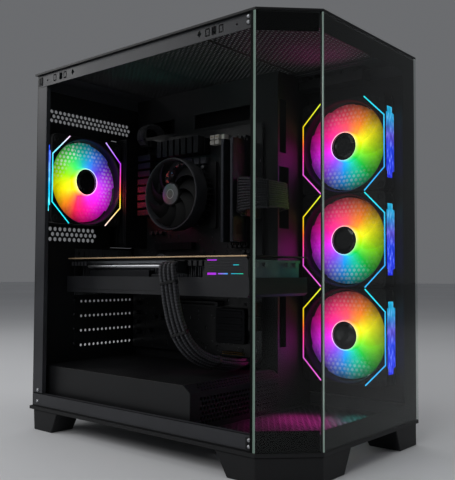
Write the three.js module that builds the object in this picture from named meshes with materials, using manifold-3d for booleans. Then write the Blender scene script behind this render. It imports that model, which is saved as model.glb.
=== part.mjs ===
// Desktop computer tower with a glass front and corner, an open window side and ringed fans.
// Millimetres, +Z up. -Y is the front, -X the open window side. The origin is on the floor,
// under the middle of the whole tower.
import * as THREE from 'three';
import { mergeVertices } from 'three/addons/utils/BufferGeometryUtils.js';
import Module from 'manifold-3d';

const wasm = await Module();
wasm.setup();

// Driving dimensions
const width = 256;
const bodyDepth = 424;
const screwHeadLength = 8;
const depth = bodyDepth + screwHeadLength;
const footHeight = 26;
const plinthTop = 30;
const coverBottom = 467;
const coverTop = 469.4;
const buttonTop = 470;
const cornerX = 48;
const cornerY = 49;
const glassThickness = 4;
const sheet = 1.2;
const gap = 0.3;

// Case planes
const left = -width / 2;
const right = width / 2;
const front = -depth / 2;
const rear = front + bodyDepth;
const railInset = 3.5;
const frontInset = glassThickness + 2 * gap;
const rightInset = 1.2;
const rearInset = 3.1;
const bottomRailTop = 47;
const topRailBottom = 451;
const shellTop = coverBottom - gap;
const innerRight = right - rightInset;
const rearWallFront = rear - rearInset + gap;
const rearWallBack = rearWallFront + sheet;
const floorTop = plinthTop + gap + sheet;
const trayX = 53;
const boardX = 45;
const boardThickness = 1.6;
const boardBottom = 95;
const boardTop = 400;
const coverX = -112;
const coverZ = 82;

// Fans
const fanSize = 119.6;
const fanDepth = 25;
const fanBore = 57.6;
const sideFanX = 100.5;
const sideFanY = front + 88.8;
const sideFanHeights = [126.4, 246.4, 366.4];
const rearFanX = -59.7;
const rearFanY = front + 395.9;
const rearFanZ = 329.3;

// Graphics card and processor cooler
const cardLeft = -78;
const cardRight = 33;
const cardFront = front + 96;
const cardBack = front + 415;
const cardBottom = 178;
const cardTop = 224;
const coolerY = front + 293;
const coolerZ = 310.5;
const coolerFace = -3;

// Expansion slots, top slot first
const slotPitch = 20.32;
const firstSlotZ = 223.9;
const slotWindow = { x0: -58, x1: 50, z0: 90, z1: 235 };

// Power supply
const supply = { x0: 58, x1: 121.5, y0: front + 320.7, y1: rear - rearInset, z0: 60, z1: 185 };
const supplyFanY = (supply.y0 + supply.y1) / 2;
const supplyFanZ = (supply.z0 + supply.z1) / 2;
const supplyFanHole = 45;
const supplyWall = 1.5;

const fromFront = (distance) => front + distance;

// ---------- Solids ----------

function solid(geometry) {
  const bare = geometry.clone();
  bare.deleteAttribute('normal');
  bare.deleteAttribute('uv');
  const merged = mergeVertices(bare, 1e-4);
  return new wasm.Manifold(new wasm.Mesh({
    numProp: 3,
    vertProperties: new Float32Array(merged.attributes.position.array),
    triVerts: new Uint32Array(merged.index.array),
  }));
}

function toGeometry(shape) {
  const mesh = shape.getMesh();
  const geometry = new THREE.BufferGeometry();
  geometry.setAttribute('position', new THREE.BufferAttribute(new Float32Array(mesh.vertProperties), 3));
  geometry.setIndex(new THREE.BufferAttribute(new Uint32Array(mesh.triVerts), 1));
  geometry.computeVertexNormals();
  return geometry;
}

function block(x0, x1, y0, y1, z0, z1) {
  const geometry = new THREE.BoxGeometry(x1 - x0, y1 - y0, z1 - z0);
  geometry.translate((x0 + x1) / 2, (y0 + y1) / 2, (z0 + z1) / 2);
  return solid(geometry);
}

function prism(points, z0, z1) {
  const shape = new THREE.Shape(points.map(([x, y]) => new THREE.Vector2(x, y)));
  const geometry = new THREE.ExtrudeGeometry(shape, { depth: z1 - z0, bevelEnabled: false });
  geometry.translate(0, 0, z0);
  return solid(geometry);
}

// A prism whose outline is given in (y, z) and runs along X.
function sidePrism(points, x0, x1) {
  const shape = new THREE.Shape(points.map(([y, z]) => new THREE.Vector2(y, z)));
  const geometry = new THREE.ExtrudeGeometry(shape, { depth: x1 - x0, bevelEnabled: false });
  geometry.applyMatrix4(new THREE.Matrix4().set(0, 0, 1, x0, 1, 0, 0, 0, 0, 1, 0, 0, 0, 0, 0, 1));
  return solid(geometry);
}

// A round bar along 'x', 'y' or 'z' from one coordinate to the other; centre holds the other two.
function bar(axis, centre, radius, from, to, sides = 32) {
  const geometry = new THREE.CylinderGeometry(radius, radius, to - from, sides);
  const middle = (from + to) / 2;
  if (axis === 'x') {
    geometry.rotateZ(Math.PI / 2);
    geometry.translate(middle, centre[0], centre[1]);
  } else if (axis === 'y') {
    geometry.translate(centre[0], middle, centre[1]);
  } else {
    geometry.rotateX(Math.PI / 2);
    geometry.translate(centre[0], centre[1], middle);
  }
  return solid(geometry);
}

const join = (...shapes) => shapes.reduce((whole, shape) => whole.add(shape));
const cut = (whole, ...tools) => tools.reduce((rest, tool) => rest.subtract(tool), whole);

// A closed skin over matching sections; capOutline gives the sections' corners in a flat view.
function loft(sections, capOutline) {
  const count = sections[0].length;
  const positions = sections.flat(2);
  const faces = THREE.ShapeUtils.triangulateShape(capOutline.map(([x, y]) => new THREE.Vector2(x, y)), []);
  const indices = [];
  for (const [a, b, c] of faces) {
    const far = (sections.length - 1) * count;
    indices.push(c, b, a, far + a, far + b, far + c);
  }
  for (let ring = 0; ring + 1 < sections.length; ring += 1) {
    for (let i = 0; i < count; i += 1) {
      const a = ring * count + i;
      const b = ring * count + (i + 1) % count;
      indices.push(a, b, b + count, a, b + count, a + count);
    }
  }
  const geometry = new THREE.BufferGeometry();
  geometry.setAttribute('position', new THREE.Float32BufferAttribute(positions, 3));
  geometry.setIndex(indices);
  return solid(geometry);
}

// The tower's plan outline, pulled in on each side; its window-side front corner is cut off.
function plan(inLeft, inRight, inFront, inRear) {
  const x0 = left + inLeft;
  const y0 = front + inFront;
  const diagonal = Math.hypot(cornerX, cornerY);
  const reach = left * cornerY + (front + cornerY) * cornerX + inFront * diagonal;
  const leftCorner = [x0, (reach - x0 * cornerY) / cornerX];
  const frontCorner = [(reach - y0 * cornerX) / cornerY, y0];
  return [[x0, rear - inRear], leftCorner, frontCorner, [right - inRight, y0], [right - inRight, rear - inRear]];
}

function rail(z0, z1) {
  const outer = prism(plan(railInset, rightInset, frontInset, rearInset), z0, z1);
  const wall = sheet;
  const inner = plan(railInset + wall, rightInset + wall, frontInset + wall, rearInset + wall);
  return cut(outer, prism(inner, z0 - 1, z1 + 1));
}

// ---------- Scene graph ----------

const tower = new THREE.Group();

function add(name, shape, color, roughness, metalness, parent = tower) {
  const material = new THREE.MeshStandardMaterial({ color, roughness, metalness });
  const mesh = new THREE.Mesh(toGeometry(shape), material);
  mesh.name = name;
  parent.add(mesh);
}

const steelBlack = [0x1b1c1f, 0.5, 0.3];
const plasticBlack = [0x141416, 0.55, 0];
const glassTint = [0x20262a, 0.05, 0];
const bareMetal = [0x9a9da3, 0.35, 0.9];

// ---------- Base ----------

const filterHalf = 80;
const filterThickness = 2;

function plinth() {
  const ring = cut(prism(plan(0, 0, 0, 0), footHeight, plinthTop), prism(plan(30, 30, 30, 30), 20, 40));
  const hangerHeight = filterThickness + 1 + 2;
  const y0 = fromFront(70);
  const y1 = fromFront(394.1);
  const parts = [ring];
  for (const side of [-1, 1]) {
    const inner = side * (filterHalf - 4);
    const wall = side * (filterHalf + gap);
    const outer = side * (filterHalf + 4);
    parts.push(block(Math.min(wall, outer), Math.max(wall, outer), y0, y1, footHeight - hangerHeight, plinthTop));
    const lip = footHeight - hangerHeight;
    parts.push(block(Math.min(inner, outer), Math.max(inner, outer), y0, y1, lip, lip + 1.5));
  }
  for (const y of [y0, fromFront(232), y1 - 8]) {
    parts.push(block(left + 20, right - 20, y, y + 8, plinthTop - 2, plinthTop));
  }
  return join(...parts);
}

function bottomFilter() {
  const z0 = footHeight - filterThickness - 1.2;
  const sheetPlate = block(-filterHalf, filterHalf, fromFront(72), fromFront(408), z0, z0 + filterThickness);
  return cut(sheetPlate, ...windowGrid(-71, 49, 3, 44, fromFront(84), 40, 8, 32, 0, 40));
}

// Rectangular windows in a flat plate: columns along X, then rows along Y.
function windowGrid(x0, stepX, columns, sizeX, y0, stepY, rows, sizeY, z0, z1) {
  const windows = [];
  for (let column = 0; column < columns; column += 1) {
    for (let row = 0; row < rows; row += 1) {
      const x = x0 + column * stepX;
      const y = y0 + row * stepY;
      windows.push(block(x, x + sizeX, y, y + sizeY, z0, z1));
    }
  }
  return windows;
}

// A foot tapers from its top outline to its bottom outline.
function foot(top, bottom) {
  const lift = (points, z) => points.map(([x, y]) => [x, y, z]);
  return loft([lift(bottom, 0), lift(top, footHeight - gap)], top);
}

function mirrored(points) {
  return points.map(([x, y]) => [-x, y]).reverse();
}

function addFeet() {
  const edge = left + 2;
  const deep = left + 27;
  const [, sideCorner, frontCorner] = plan(2, 2, 2, 2);
  const [, innerSide, innerFront] = plan(27, 2, 27, 2);
  const frontLeft = (sideEnd, frontEnd) => [
    [edge, fromFront(sideEnd)], sideCorner, frontCorner, [frontEnd, front + 2],
    [frontEnd, front + 27], innerFront, innerSide, [deep, fromFront(sideEnd)],
  ];
  add('foot_front_left', foot(frontLeft(102, -25), frontLeft(86, -39)), ...plasticBlack);
  const frontRight = (x0, y1) => [[x0, front + 2], [right - 2, front + 2], [right - 2, y1], [x0, y1]];
  add('foot_front_right', foot(frontRight(74, fromFront(52)), frontRight(84, fromFront(42))), ...plasticBlack);
  const rearLeft = (x1, y0, y1) => [[edge, y0], [x1, y0], [x1, y1], [edge, y1]];
  const top = rearLeft(-88, fromFront(368), fromFront(418));
  const bottom = rearLeft(-92, fromFront(379), fromFront(416));
  add('foot_rear_left', foot(top, bottom), ...plasticBlack);
  add('foot_rear_right', foot(mirrored(top), mirrored(bottom)), ...plasticBlack);
}

function floorPan() {
  const plate = prism(plan(railInset, rightInset, frontInset, rearInset), plinthTop + gap, floorTop);
  const slots = windowGrid(-78, 44, 4, 38, fromFront(34), 16, 7, 9, 20, 40);
  return join(cut(plate, ...slots), rail(floorTop - 0.2, bottomRailTop));
}

// ---------- Shell ----------

const screwX = 117;
const screwHeights = [53, 425];

function rearWall() {
  const z0 = bottomRailTop + gap;
  const z1 = topRailBottom - gap;
  const x0 = left + railInset;
  const plate = block(x0, innerRight, rearWallFront, rearWallBack, plinthTop + gap, shellTop);
  const leftPost = block(x0, x0 + sheet, fromFront(402), rearWallFront + 0.2, z0, z1);
  const rightPost = block(innerRight - sheet, innerRight, fromFront(402), rearWallFront + 0.2, z0, z1);
  const y0 = rearWallFront - 1;
  const y1 = rearWallBack + 1;
  const holes = [
    bar('y', [rearFanX, rearFanZ], fanBore, y0, y1, 28),
    block(0.5, boardX, y0, y1, 240, 399),
    block(slotWindow.x0, slotWindow.x1, y0, y1, slotWindow.z0, slotWindow.z1),
    block(supply.x0 + 2, supply.x1 - 2, y0, y1, supply.z0 + 2, supply.z1 - 2),
  ];
  for (let row = 0; row < 3; row += 1) {
    holes.push(block(-104, 40, y0, y1, 411 + row * 7.4, 415 + row * 7.4));
    holes.push(block(-108, -22, y0, y1, 249 + row * 6.2, 252.6 + row * 6.2));
  }
  for (const z of screwHeights) {
    holes.push(bar('y', [screwX, z], 2.4, y0, y1, 12));
  }
  return cut(join(plate, leftPost, rightPost), ...holes);
}

const ioX0 = 101;
const ioX1 = 121;
const ioY0 = fromFront(60);
const ioY1 = fromFront(160);

function topFrame() {
  const plateBottom = shellTop - sheet;
  const plate = prism(plan(railInset, rightInset, frontInset, rearInset), plateBottom, shellTop);
  const opening = prism(plan(24, 40, 30, 32), plateBottom - 1, shellTop + 1);
  const ioWindow = block(ioX0 - 1, ioX1 + 1, ioY0 - 1, ioY1 + 1, plateBottom - 1, shellTop + 1);
  return join(cut(plate, opening, ioWindow), rail(topRailBottom, plateBottom + 0.2));
}

const powerButton = { y: fromFront(148), radius: 6.4 };
const resetButton = { y: fromFront(130), radius: 3.4 };
const ioX = (ioX0 + ioX1) / 2;
const usbPorts = [fromFront(104), fromFront(86)];
const usbHalf = { x: 3, y: 6.8 };

function topCover() {
  const plate = cut(prism(plan(0, 0, 0, 0), coverBottom, coverTop), prism(plan(18, 34, 24, 26), 460, 480));
  const holes = [
    bar('z', [ioX, powerButton.y], powerButton.radius + gap, 460, 480, 24),
    bar('z', [ioX, resetButton.y], resetButton.radius + gap, 460, 480, 16),
    bar('z', [ioX, fromFront(69)], 3.2, 460, 480, 16),
  ];
  for (const y of usbPorts) {
    const across = usbHalf.x + gap;
    const along = usbHalf.y + gap;
    holes.push(block(ioX - across, ioX + across, y - along, y + along, 460, 480));
  }
  return cut(plate, ...holes);
}

function topFilter() {
  const plate = prism(plan(18.3, 34.3, 24.3, 26.3), coverBottom + 0.2, coverTop);
  return cut(plate, ...windowGrid(-98, 47, 4, 43, fromFront(84), 34, 9, 28, 460, 480));
}

function button(y, radius) {
  const stem = bar('z', [ioX, y], radius, 463, buttonTop, 16);
  const collar = bar('z', [ioX, y], radius + 1.6, 464.5, 466.5, 16);
  return join(stem, collar);
}

function frontPorts() {
  const parts = [block(ioX0, ioX1, ioY0, ioY1, 448, 460)];
  const holes = [bar('z', [ioX, fromFront(69)], 1.8, 452, 480, 12)];
  parts.push(bar('z', [ioX, fromFront(69)], 2.9, 459, coverTop - 0.4, 16));
  for (const y of usbPorts) {
    parts.push(block(ioX - usbHalf.x, ioX + usbHalf.x, y - usbHalf.y, y + usbHalf.y, 459, coverTop - 0.4));
    const across = usbHalf.x - 0.7;
    const along = usbHalf.y - 0.7;
    holes.push(block(ioX - across, ioX + across, y - along, y + along, 455, 480));
  }
  return cut(join(...parts), ...holes);
}

function motherboardTray() {
  const y0 = fromFront(154);
  const y1 = fromFront(419.4);
  const z0 = floorTop + gap;
  const z1 = shellTop - sheet - gap;
  const plate = block(trayX, trayX + sheet, y0, y1, z0, z1);
  const step = block(trayX, 125.2, y0, y0 + sheet, z0, z1);
  const holes = [
    block(trayX - 1, trayX + 2, fromFront(262), fromFront(330), 270, 350),
    block(trayX - 1, trayX + 2, fromFront(178), fromFront(222), coverZ + 0.5, 94.5),
    block(trayX - 1, trayX + 2, fromFront(340), fromFront(400), 408, 428),
    block(trayX - 1, trayX + 2, fromFront(200), fromFront(300), 408, 428),
    block(trayX + 4, trayX + 18, y0 - 1, y0 + 2, 110, 200),
    block(trayX + 3, trayX + 24, y0 - 1, y0 + 2, 262, 342),
    block(trayX + 4, trayX + 18, y0 - 1, y0 + 2, 360, 430),
    block(ioX - 11, innerRight, y0 - 1, y0 + 2, 447, z1 + 1),
  ];
  const standoffs = [];
  for (const y of [fromFront(180), fromFront(252), fromFront(410)]) {
    for (const z of [103, 232, 392]) {
      standoffs.push(bar('x', [y, z], 3, boardX + boardThickness + gap, trayX + 0.5, 6));
    }
  }
  return join(cut(join(plate, step), ...holes), ...standoffs);
}

function sideFanBracket() {
  const x0 = innerRight - 1;
  const plate = block(x0, innerRight, fromFront(20), fromFront(153.7), bottomRailTop + gap, topRailBottom - gap);
  const holes = sideFanHeights.map((z) => bar('x', [sideFanY, z], fanBore, x0 - 1, innerRight + 1, 28));
  return cut(plate, ...holes);
}

function frontPillar() {
  const z0 = bottomRailTop + gap;
  const z1 = topRailBottom - gap;
  const y0 = front + frontInset;
  const face = block(106, innerRight, y0, y0 + sheet, z0, z1);
  const side = block(innerRight - sheet, innerRight, y0, fromFront(19.7), z0, z1);
  return join(face, side);
}

function rightPanel() {
  const x0 = innerRight + gap;
  const parts = [block(x0, right, fromFront(frontInset), rear, plinthTop + gap, shellTop)];
  for (const z of screwHeights) {
    parts.push(block(106, right, rearWallBack + gap, rear, z - 8, z + 8));
  }
  const holes = screwHeights.map((z) => bar('y', [screwX, z], 2.6, rearWallBack, rear + 1, 12));
  const vent = (y, z, halfWidth, rows) => {
    for (let row = 0; row < rows; row += 1) {
      const low = z + (row - rows / 2) * 20 + 3;
      holes.push(block(x0 - 1, right + 1, y - halfWidth, y - 3, low, low + 14));
      holes.push(block(x0 - 1, right + 1, y + 3, y + halfWidth, low, low + 14));
    }
  };
  sideFanHeights.forEach((z) => vent(sideFanY, z, 48, 5));
  vent(supplyFanY, supplyFanZ, 40, 4);
  return cut(join(...parts), ...holes);
}

function thumbscrew(z) {
  const head = bar('y', [screwX, z], 6.5, rear + gap, rear + screwHeadLength, 20);
  const shank = bar('y', [screwX, z], 2, rear - 6, rear + 1, 12);
  const headFace = rear + screwHeadLength;
  const slot = block(screwX - 5, screwX + 5, headFace - 1.5, headFace + 1, z - 0.7, z + 0.7);
  return cut(join(head, shank), slot);
}

function addGlass() {
  const [, outerLeft, outerFront] = plan(0, 0, 0, 0);
  const [, innerLeft, innerFront] = plan(0, 0, glassThickness, 0);
  const slip = (from, to) => {
    const share = 0.4 / Math.hypot(to[0] - from[0], to[1] - from[1]);
    return [from[0] + (to[0] - from[0]) * share, from[1] + (to[1] - from[1]) * share];
  };
  const z0 = plinthTop + gap;
  const corner = [outerLeft, slip(outerFront, outerLeft), slip(innerFront, innerLeft), innerLeft];
  add('corner_glass', prism(corner, z0, shellTop), ...glassTint);
  const face = [[outerFront[0] + gap, front], [right, front], [right, front + glassThickness]];
  face.push([innerFront[0] + gap, front + glassThickness]);
  add('front_glass', prism(face, z0, shellTop), ...glassTint);
}

// ---------- Drive and cable cover ----------

const coverFrontTop = fromFront(161);
const coverFrontFoot = fromFront(150);
const coverBevelZ = 74;

function driveCover() {
  const y1 = fromFront(419.4);
  const z0 = bottomRailTop + gap;
  const profile = [[coverFrontFoot, floorTop + gap], [y1, floorTop + gap], [y1, coverZ]];
  profile.push([coverFrontTop, coverZ], [coverFrontFoot, coverBevelZ]);
  const side = sidePrism(profile, coverX, coverX + sheet);
  const lid = block(coverX, trayX - gap, coverFrontTop, y1, coverZ - sheet, coverZ);
  const backEdge = block(coverX, trayX - gap, y1 - sheet, y1, z0, coverZ);
  return join(side, lid, backEdge);
}

function coverGrille() {
  const t = sheet;
  const foot = floorTop + gap;
  const outline = [
    [coverFrontFoot, foot], [coverFrontFoot + t, foot], [coverFrontFoot + t, coverBevelZ - 0.6],
    [coverFrontTop - gap, coverZ - 1.7], [coverFrontTop - gap, coverZ - 0.2], [coverFrontFoot, coverBevelZ],
  ];
  const slots = [];
  for (let column = 0; column < 8; column += 1) {
    const x = coverX + 8 + column * 19.5;
    slots.push(block(x, x + 13, fromFront(149), fromFront(152), 40, 68));
  }
  return cut(sidePrism(outline, coverX + sheet + gap, trayX - gap), ...slots);
}

// ---------- Motherboard and what it carries ----------

const memorySlots = [217.25, 209.5, 201.75, 194].map(fromFront);
const memoryZ0 = 244;
const memoryZ1 = 377;
const boardEdge = boardX - gap;

function motherboard() {
  const parts = [block(boardX, boardX + boardThickness, fromFront(173), fromFront(417), boardBottom, boardTop)];
  for (const y of memorySlots) {
    parts.push(block(36.5, boardX + 0.2, y - 3, y + 3, memoryZ0 - 5, memoryZ1 + 5));
  }
  for (const z of [cardTop - 3.6, firstSlotZ - 3 * slotPitch]) {
    const slot = block(34, boardX + 0.2, fromFront(243), fromFront(334), z - 3.7, z + 3.7);
    parts.push(cut(slot, block(33, 42, fromFront(244), fromFront(333), z - 1.3, z + 1.3)));
  }
  parts.push(block(31, boardX + 0.2, fromFront(174), fromFront(184), 275, 327));
  parts.push(block(33, boardX + 0.2, fromFront(174), fromFront(186), 130, 168));
  parts.push(block(31, boardX + 0.2, fromFront(366), fromFront(386), 387, 397));
  return join(...parts);
}

function rearPorts() {
  const body = block(2, boardEdge, fromFront(388), rear - 1, 242, 397);
  const holes = rearPortPockets.map(([z0, z1]) => block(16, 30, fromFront(408), rear + 1, z0, z1));
  return cut(body, ...holes);
}

const rearPortPockets = [[250, 266], [278, 294], [306, 322], [334, 350], [362, 378]];

// Straight fins cut into a block, the cuts running down from its -X face.
function finnedBlock(x0, y0, y1, z0, z1, count, finAxis) {
  const body = block(x0, boardEdge, y0, y1, z0, z1);
  const cuts = [];
  const along = finAxis === 'z' ? z1 - z0 : y1 - y0;
  const pitch = along / count;
  for (let i = 1; i < count; i += 1) {
    const low = (finAxis === 'z' ? z0 : y0) + i * pitch - pitch / 4;
    const high = low + pitch / 2;
    cuts.push(finAxis === 'z'
      ? block(x0 - 1, boardEdge - 8, y0 - 1, y1 + 1, low, high)
      : block(x0 - 1, boardEdge - 8, low, high, z0 - 1, z1 + 1));
  }
  return cut(body, ...cuts);
}

function m2Heatsink() {
  const body = block(37, boardEdge, fromFront(290), fromFront(364), 237, 247);
  const grooves = [0, 1, 2].map((i) => block(36, 38, fromFront(298 + i * 20), fromFront(310 + i * 20), 236, 248));
  return cut(body, ...grooves);
}

function cpuHeatsink() {
  const core = bar('x', [coolerY, coolerZ], 19, 21, boardEdge, 24);
  const fins = [];
  for (let i = 0; i < 16; i += 1) {
    const fin = block(21, boardEdge - 7, 15, 44, -0.9, 0.9);
    fins.push(fin.rotate([i * 22.5, 0, 0]).translate([0, coolerY, coolerZ]));
  }
  const base = block(boardEdge - 7.2, boardEdge, coolerY - 22, coolerY + 22, coolerZ - 22, coolerZ + 22);
  return join(core, base, ...fins);
}

function cpuFanFrame() {
  const x1 = 20.6;
  const ring = cut(
    bar('x', [coolerY, coolerZ], 49, coolerFace, x1, 36),
    bar('x', [coolerY, coolerZ], 46, coolerFace - 1, x1 - 3, 36),
    bar('x', [coolerY, coolerZ], 42, x1 - 4, x1 + 1, 24),
  );
  const arms = [0, 1, 2].map((i) => block(x1 - 3, x1 - 0.6, 0, 44, -2.5, 2.5)
    .rotate([90 + i * 120, 0, 0]).translate([0, coolerY, coolerZ]));
  return join(ring, bar('x', [coolerY, coolerZ], 15, x1 - 3, x1 - 0.6, 16), ...arms);
}

function memoryStick(y) {
  return block(8, 36.2, y - 3.2, y + 3.2, memoryZ0, memoryZ1);
}

// ---------- Graphics card ----------

const cardFans = [-104, 0, 104].map((offset) => (cardFront + cardBack) / 2 + offset);
const cardMiddle = (cardLeft + cardRight) / 2;
const cardFanRadius = 46;
const slabTop = 199.5;
const circuitZ = cardTop - 4.4;

function cardBackplate() {
  const plate = block(cardLeft, cardRight, cardFront, cardBack, cardTop - 1.4, cardTop);
  return cut(plate, block(-60, 10, cardFront + 14, cardFront + 80, cardTop - 3, cardTop + 1));
}

function cardCircuit() {
  const board = block(-66, cardRight - 2, cardFront + 90, cardBack - 2, circuitZ, circuitZ + 1.6);
  return join(board, block(30, 41.5, fromFront(245), fromFront(332), circuitZ, circuitZ + 1.6));
}

function cardHeatsink() {
  const base = block(-68, cardRight - 6, cardFront + 6, cardBack - 14, circuitZ - 3.4, circuitZ - gap);
  const fins = [];
  for (let i = 0; i < 20; i += 1) {
    const y = cardFront + 8 + i * 15.2;
    fins.push(block(-68, cardRight - 6, y, y + 3, 198.4, circuitZ - 3));
  }
  return join(base, ...fins);
}

function cardShroud() {
  const slab = block(cardLeft, cardRight, cardFront, cardBack, cardBottom, slabTop);
  const hollow = block(cardLeft + 2.5, cardRight - 2.5, cardFront + 2.5, cardBack - 2.5, cardBottom + 17.5, slabTop + 1);
  const bores = cardFans.map((y) => bar('z', [cardMiddle, y], cardFanRadius, cardBottom - 1, slabTop, 28));
  const nose = block(cardLeft, -69, cardFront, cardFront + 70, slabTop - 1, cardTop - 1.8);
  const struts = [];
  for (const y of cardFans) {
    struts.push(bar('z', [cardMiddle, y], 14, 192.5, 194.5, 12));
    struts.push(block(cardMiddle - 50, cardMiddle + 50, y - 2.5, y + 2.5, 192.5, 194.5));
  }
  return join(cut(slab, hollow, ...bores), nose, ...struts);
}

function cardBracket() {
  const y0 = rearWallFront - gap - 1;
  const plate = block(slotWindow.x0 - 3, slotWindow.x1 + 2.7, y0, y0 + 1, 173.6, 237.5);
  const holes = [];
  for (let i = 0; i < 4; i += 1) {
    const x = -44 + i * 24;
    holes.push(block(x, x + 17, y0 - 1, y0 + 2, 208, 216));
  }
  return cut(plate, ...holes);
}

function slotCover(z) {
  const half = (slotPitch - 1.4) / 2;
  const y0 = rearWallFront - gap - 1;
  return block(slotWindow.x0 - 3, slotWindow.x1 + 2.7, y0, y0 + 1, z - half, z + half);
}

// ---------- Leads ----------

function tube(points, radius, steps) {
  const path = new THREE.CatmullRomCurve3(points.map((point) => new THREE.Vector3(...point)), false, 'centripetal');
  const section = new THREE.Shape();
  section.absarc(0, 0, radius, 0, Math.PI * 2, false);
  const geometry = new THREE.ExtrudeGeometry(section, { extrudePath: path, steps, curveSegments: 4, bevelEnabled: false });
  return solid(geometry);
}

// From the plug on the card's edge, down and round into the tray, then back to the supply.
const cardLeadRoute = [
  [-84, 206.5, 213], [-91, 206, 212], [-95, 203, 204], [-96, 199, 190], [-95, 196, 170],
  [-91, 192, 146], [-83, 188, 126], [-68, 184, 110], [-46, 181, 100], [-18, 180, 94], [10, 186, 90],
  [40, 198, 88], [62, 203, 88.5], [78, 216, 92], [88, 245, 100], [90, 290, 110], [90, 320, 110],
].map(([x, distance, z]) => [x, fromFront(distance), z]);

function cardPowerLead() {
  const plug = block(-86, -70, fromFront(196), fromFront(217), 204.5, 217.8);
  return join(plug, tube(cardLeadRoute, 4.8, 36));
}

// From the main power socket on the board's front edge, round through the step wall to the supply.
const boardLeadRoute = [
  [18, 179, 301], [6, 178, 301.5], [-1, 169, 302], [3, 154, 302], [16, 143, 302], [34, 138, 302],
  [54, 142, 302], [66, 154.6, 302], [74, 176, 298], [80, 210, 280], [86, 250, 240], [92, 284, 192],
  [97, 306, 160], [97, 320, 160],
].map(([x, distance, z]) => [x, fromFront(distance), z]);

function boardPowerLead() {
  const plug = block(15, 30.7, fromFront(174.4), fromFront(183.6), 276, 326);
  return join(plug, tube(boardLeadRoute, 7, 28));
}

// ---------- Fans ----------

// One blade from the hub to the tip: its leading edge is low, its trailing edge high.
function blade(inner, outer, low, high, rootChord, tipChord, lean, thickness) {
  const sections = [];
  const stations = 2;
  for (let i = 0; i <= stations; i += 1) {
    const share = i / stations;
    const radius = inner + (outer - inner) * share;
    const half = (rootChord + (tipChord - rootChord) * share) / 2 / radius;
    const middle = lean * share;
    const corner = (angle, z) => [radius * Math.cos(angle), radius * Math.sin(angle), z];
    sections.push([
      corner(middle - half, low), corner(middle + half, high),
      corner(middle + half, high + thickness), corner(middle - half, low + thickness),
    ]);
  }
  return loft(sections, [[0, 0], [1, 0], [1, 1], [0, 1]]);
}

function rotor({ hub, tip, low, high, blades, tipChord, lean }) {
  const parts = [bar('z', [0, 0], hub, low, high, 20)];
  const chordAtRoot = (2 * Math.PI * hub / blades) * 0.8;
  for (let i = 0; i < blades; i += 1) {
    const one = blade(hub - 1.2, tip, low + 2, high - 3, chordAtRoot, tipChord, lean, 1.4);
    parts.push(one.rotate([0, 0, i * 360 / blades]));
  }
  return join(...parts);
}

function fanFrame() {
  const half = fanSize / 2;
  const round = 5;
  const outline = new THREE.Shape();
  outline.moveTo(half - round, -half);
  outline.absarc(half - round, -half + round, round, -Math.PI / 2, 0, false);
  outline.absarc(half - round, half - round, round, 0, Math.PI / 2, false);
  outline.absarc(-half + round, half - round, round, Math.PI / 2, Math.PI, false);
  outline.absarc(-half + round, -half + round, round, Math.PI, 1.5 * Math.PI, false);
  const body = solid(new THREE.ExtrudeGeometry(outline, { depth: fanDepth, bevelEnabled: false, curveSegments: 3 }));
  const holes = [bar('z', [0, 0], fanBore, -1, fanDepth + 1, 28)];
  for (const x of [-52.5, 52.5]) {
    for (const y of [-52.5, 52.5]) {
      holes.push(bar('z', [x, y], 2.2, -1, fanDepth + 1, 6));
    }
  }
  const arms = [0, 1, 2, 3].map((i) => block(14, fanBore + 1, -2.5, 2.5, 22, 24.6).rotate([0, 0, 45 + i * 90]));
  return join(cut(body, ...holes), bar('z', [0, 0], 19, 22, 24.6, 16), ...arms);
}

const ringFan = { hub: 19, tip: 55.2, low: 2, high: 21, blades: 9, tipChord: 27, lean: 0.5 };
const cardFan = { hub: 15, tip: cardFanRadius - 1.5, low: 0, high: 13, blades: 9, tipChord: 21, lean: 0.45 };
const coolerFan = { hub: 15, tip: 44.5, low: 0, high: 17, blades: 7, tipChord: 26, lean: 0.5 };
const supplyFan = { hub: 15, tip: 43, low: 0, high: 15, blades: 9, tipChord: 20, lean: 0.4 };

function place(position, turn) {
  const group = new THREE.Group();
  group.position.set(...position);
  group.rotation.set(...turn);
  tower.add(group);
  return group;
}

const faceLeft = [0, Math.PI / 2, 0];
const faceFront = [-Math.PI / 2, 0, 0];
const faceUp = [0, 0, 0];
const faceRight = [0, -Math.PI / 2, 0];

function addRingFan(name, position, turn) {
  const group = place(position, turn);
  add(`${name}_frame`, fanFrame(), ...plasticBlack, group);
  add(`${name}_rotor`, rotor(ringFan), 0x9aa0a8, 0.4, 0, group);
}

function addFans() {
  ['lower', 'middle', 'upper'].forEach((level, i) => {
    addRingFan(`side_fan_${level}`, [sideFanX, sideFanY, sideFanHeights[i]], faceLeft);
  });
  addRingFan('rear_fan', [rearFanX, rearFanY, rearFanZ], faceFront);
  add('cpu_rotor', rotor(coolerFan), ...plasticBlack, place([coolerFace + 1, coolerY, coolerZ], faceLeft));
  ['front', 'middle', 'rear'].forEach((spot, i) => {
    const group = place([cardMiddle, cardFans[i], cardBottom + 1], faceUp);
    add(`card_rotor_${spot}`, rotor(cardFan), ...plasticBlack, group);
  });
  const group = place([supply.x1 - 2, supplyFanY, supplyFanZ], faceRight);
  add('supply_rotor', rotor(supplyFan), ...plasticBlack, group);
}

// ---------- Power supply ----------

const inlet = { x0: 78, x1: 105, z0: 72, z1: 97 };
const rocker = { x0: 86, x1: 97, z0: 106, z1: 126 };
const rockerPivotY = supply.y1 + 0.4;

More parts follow.
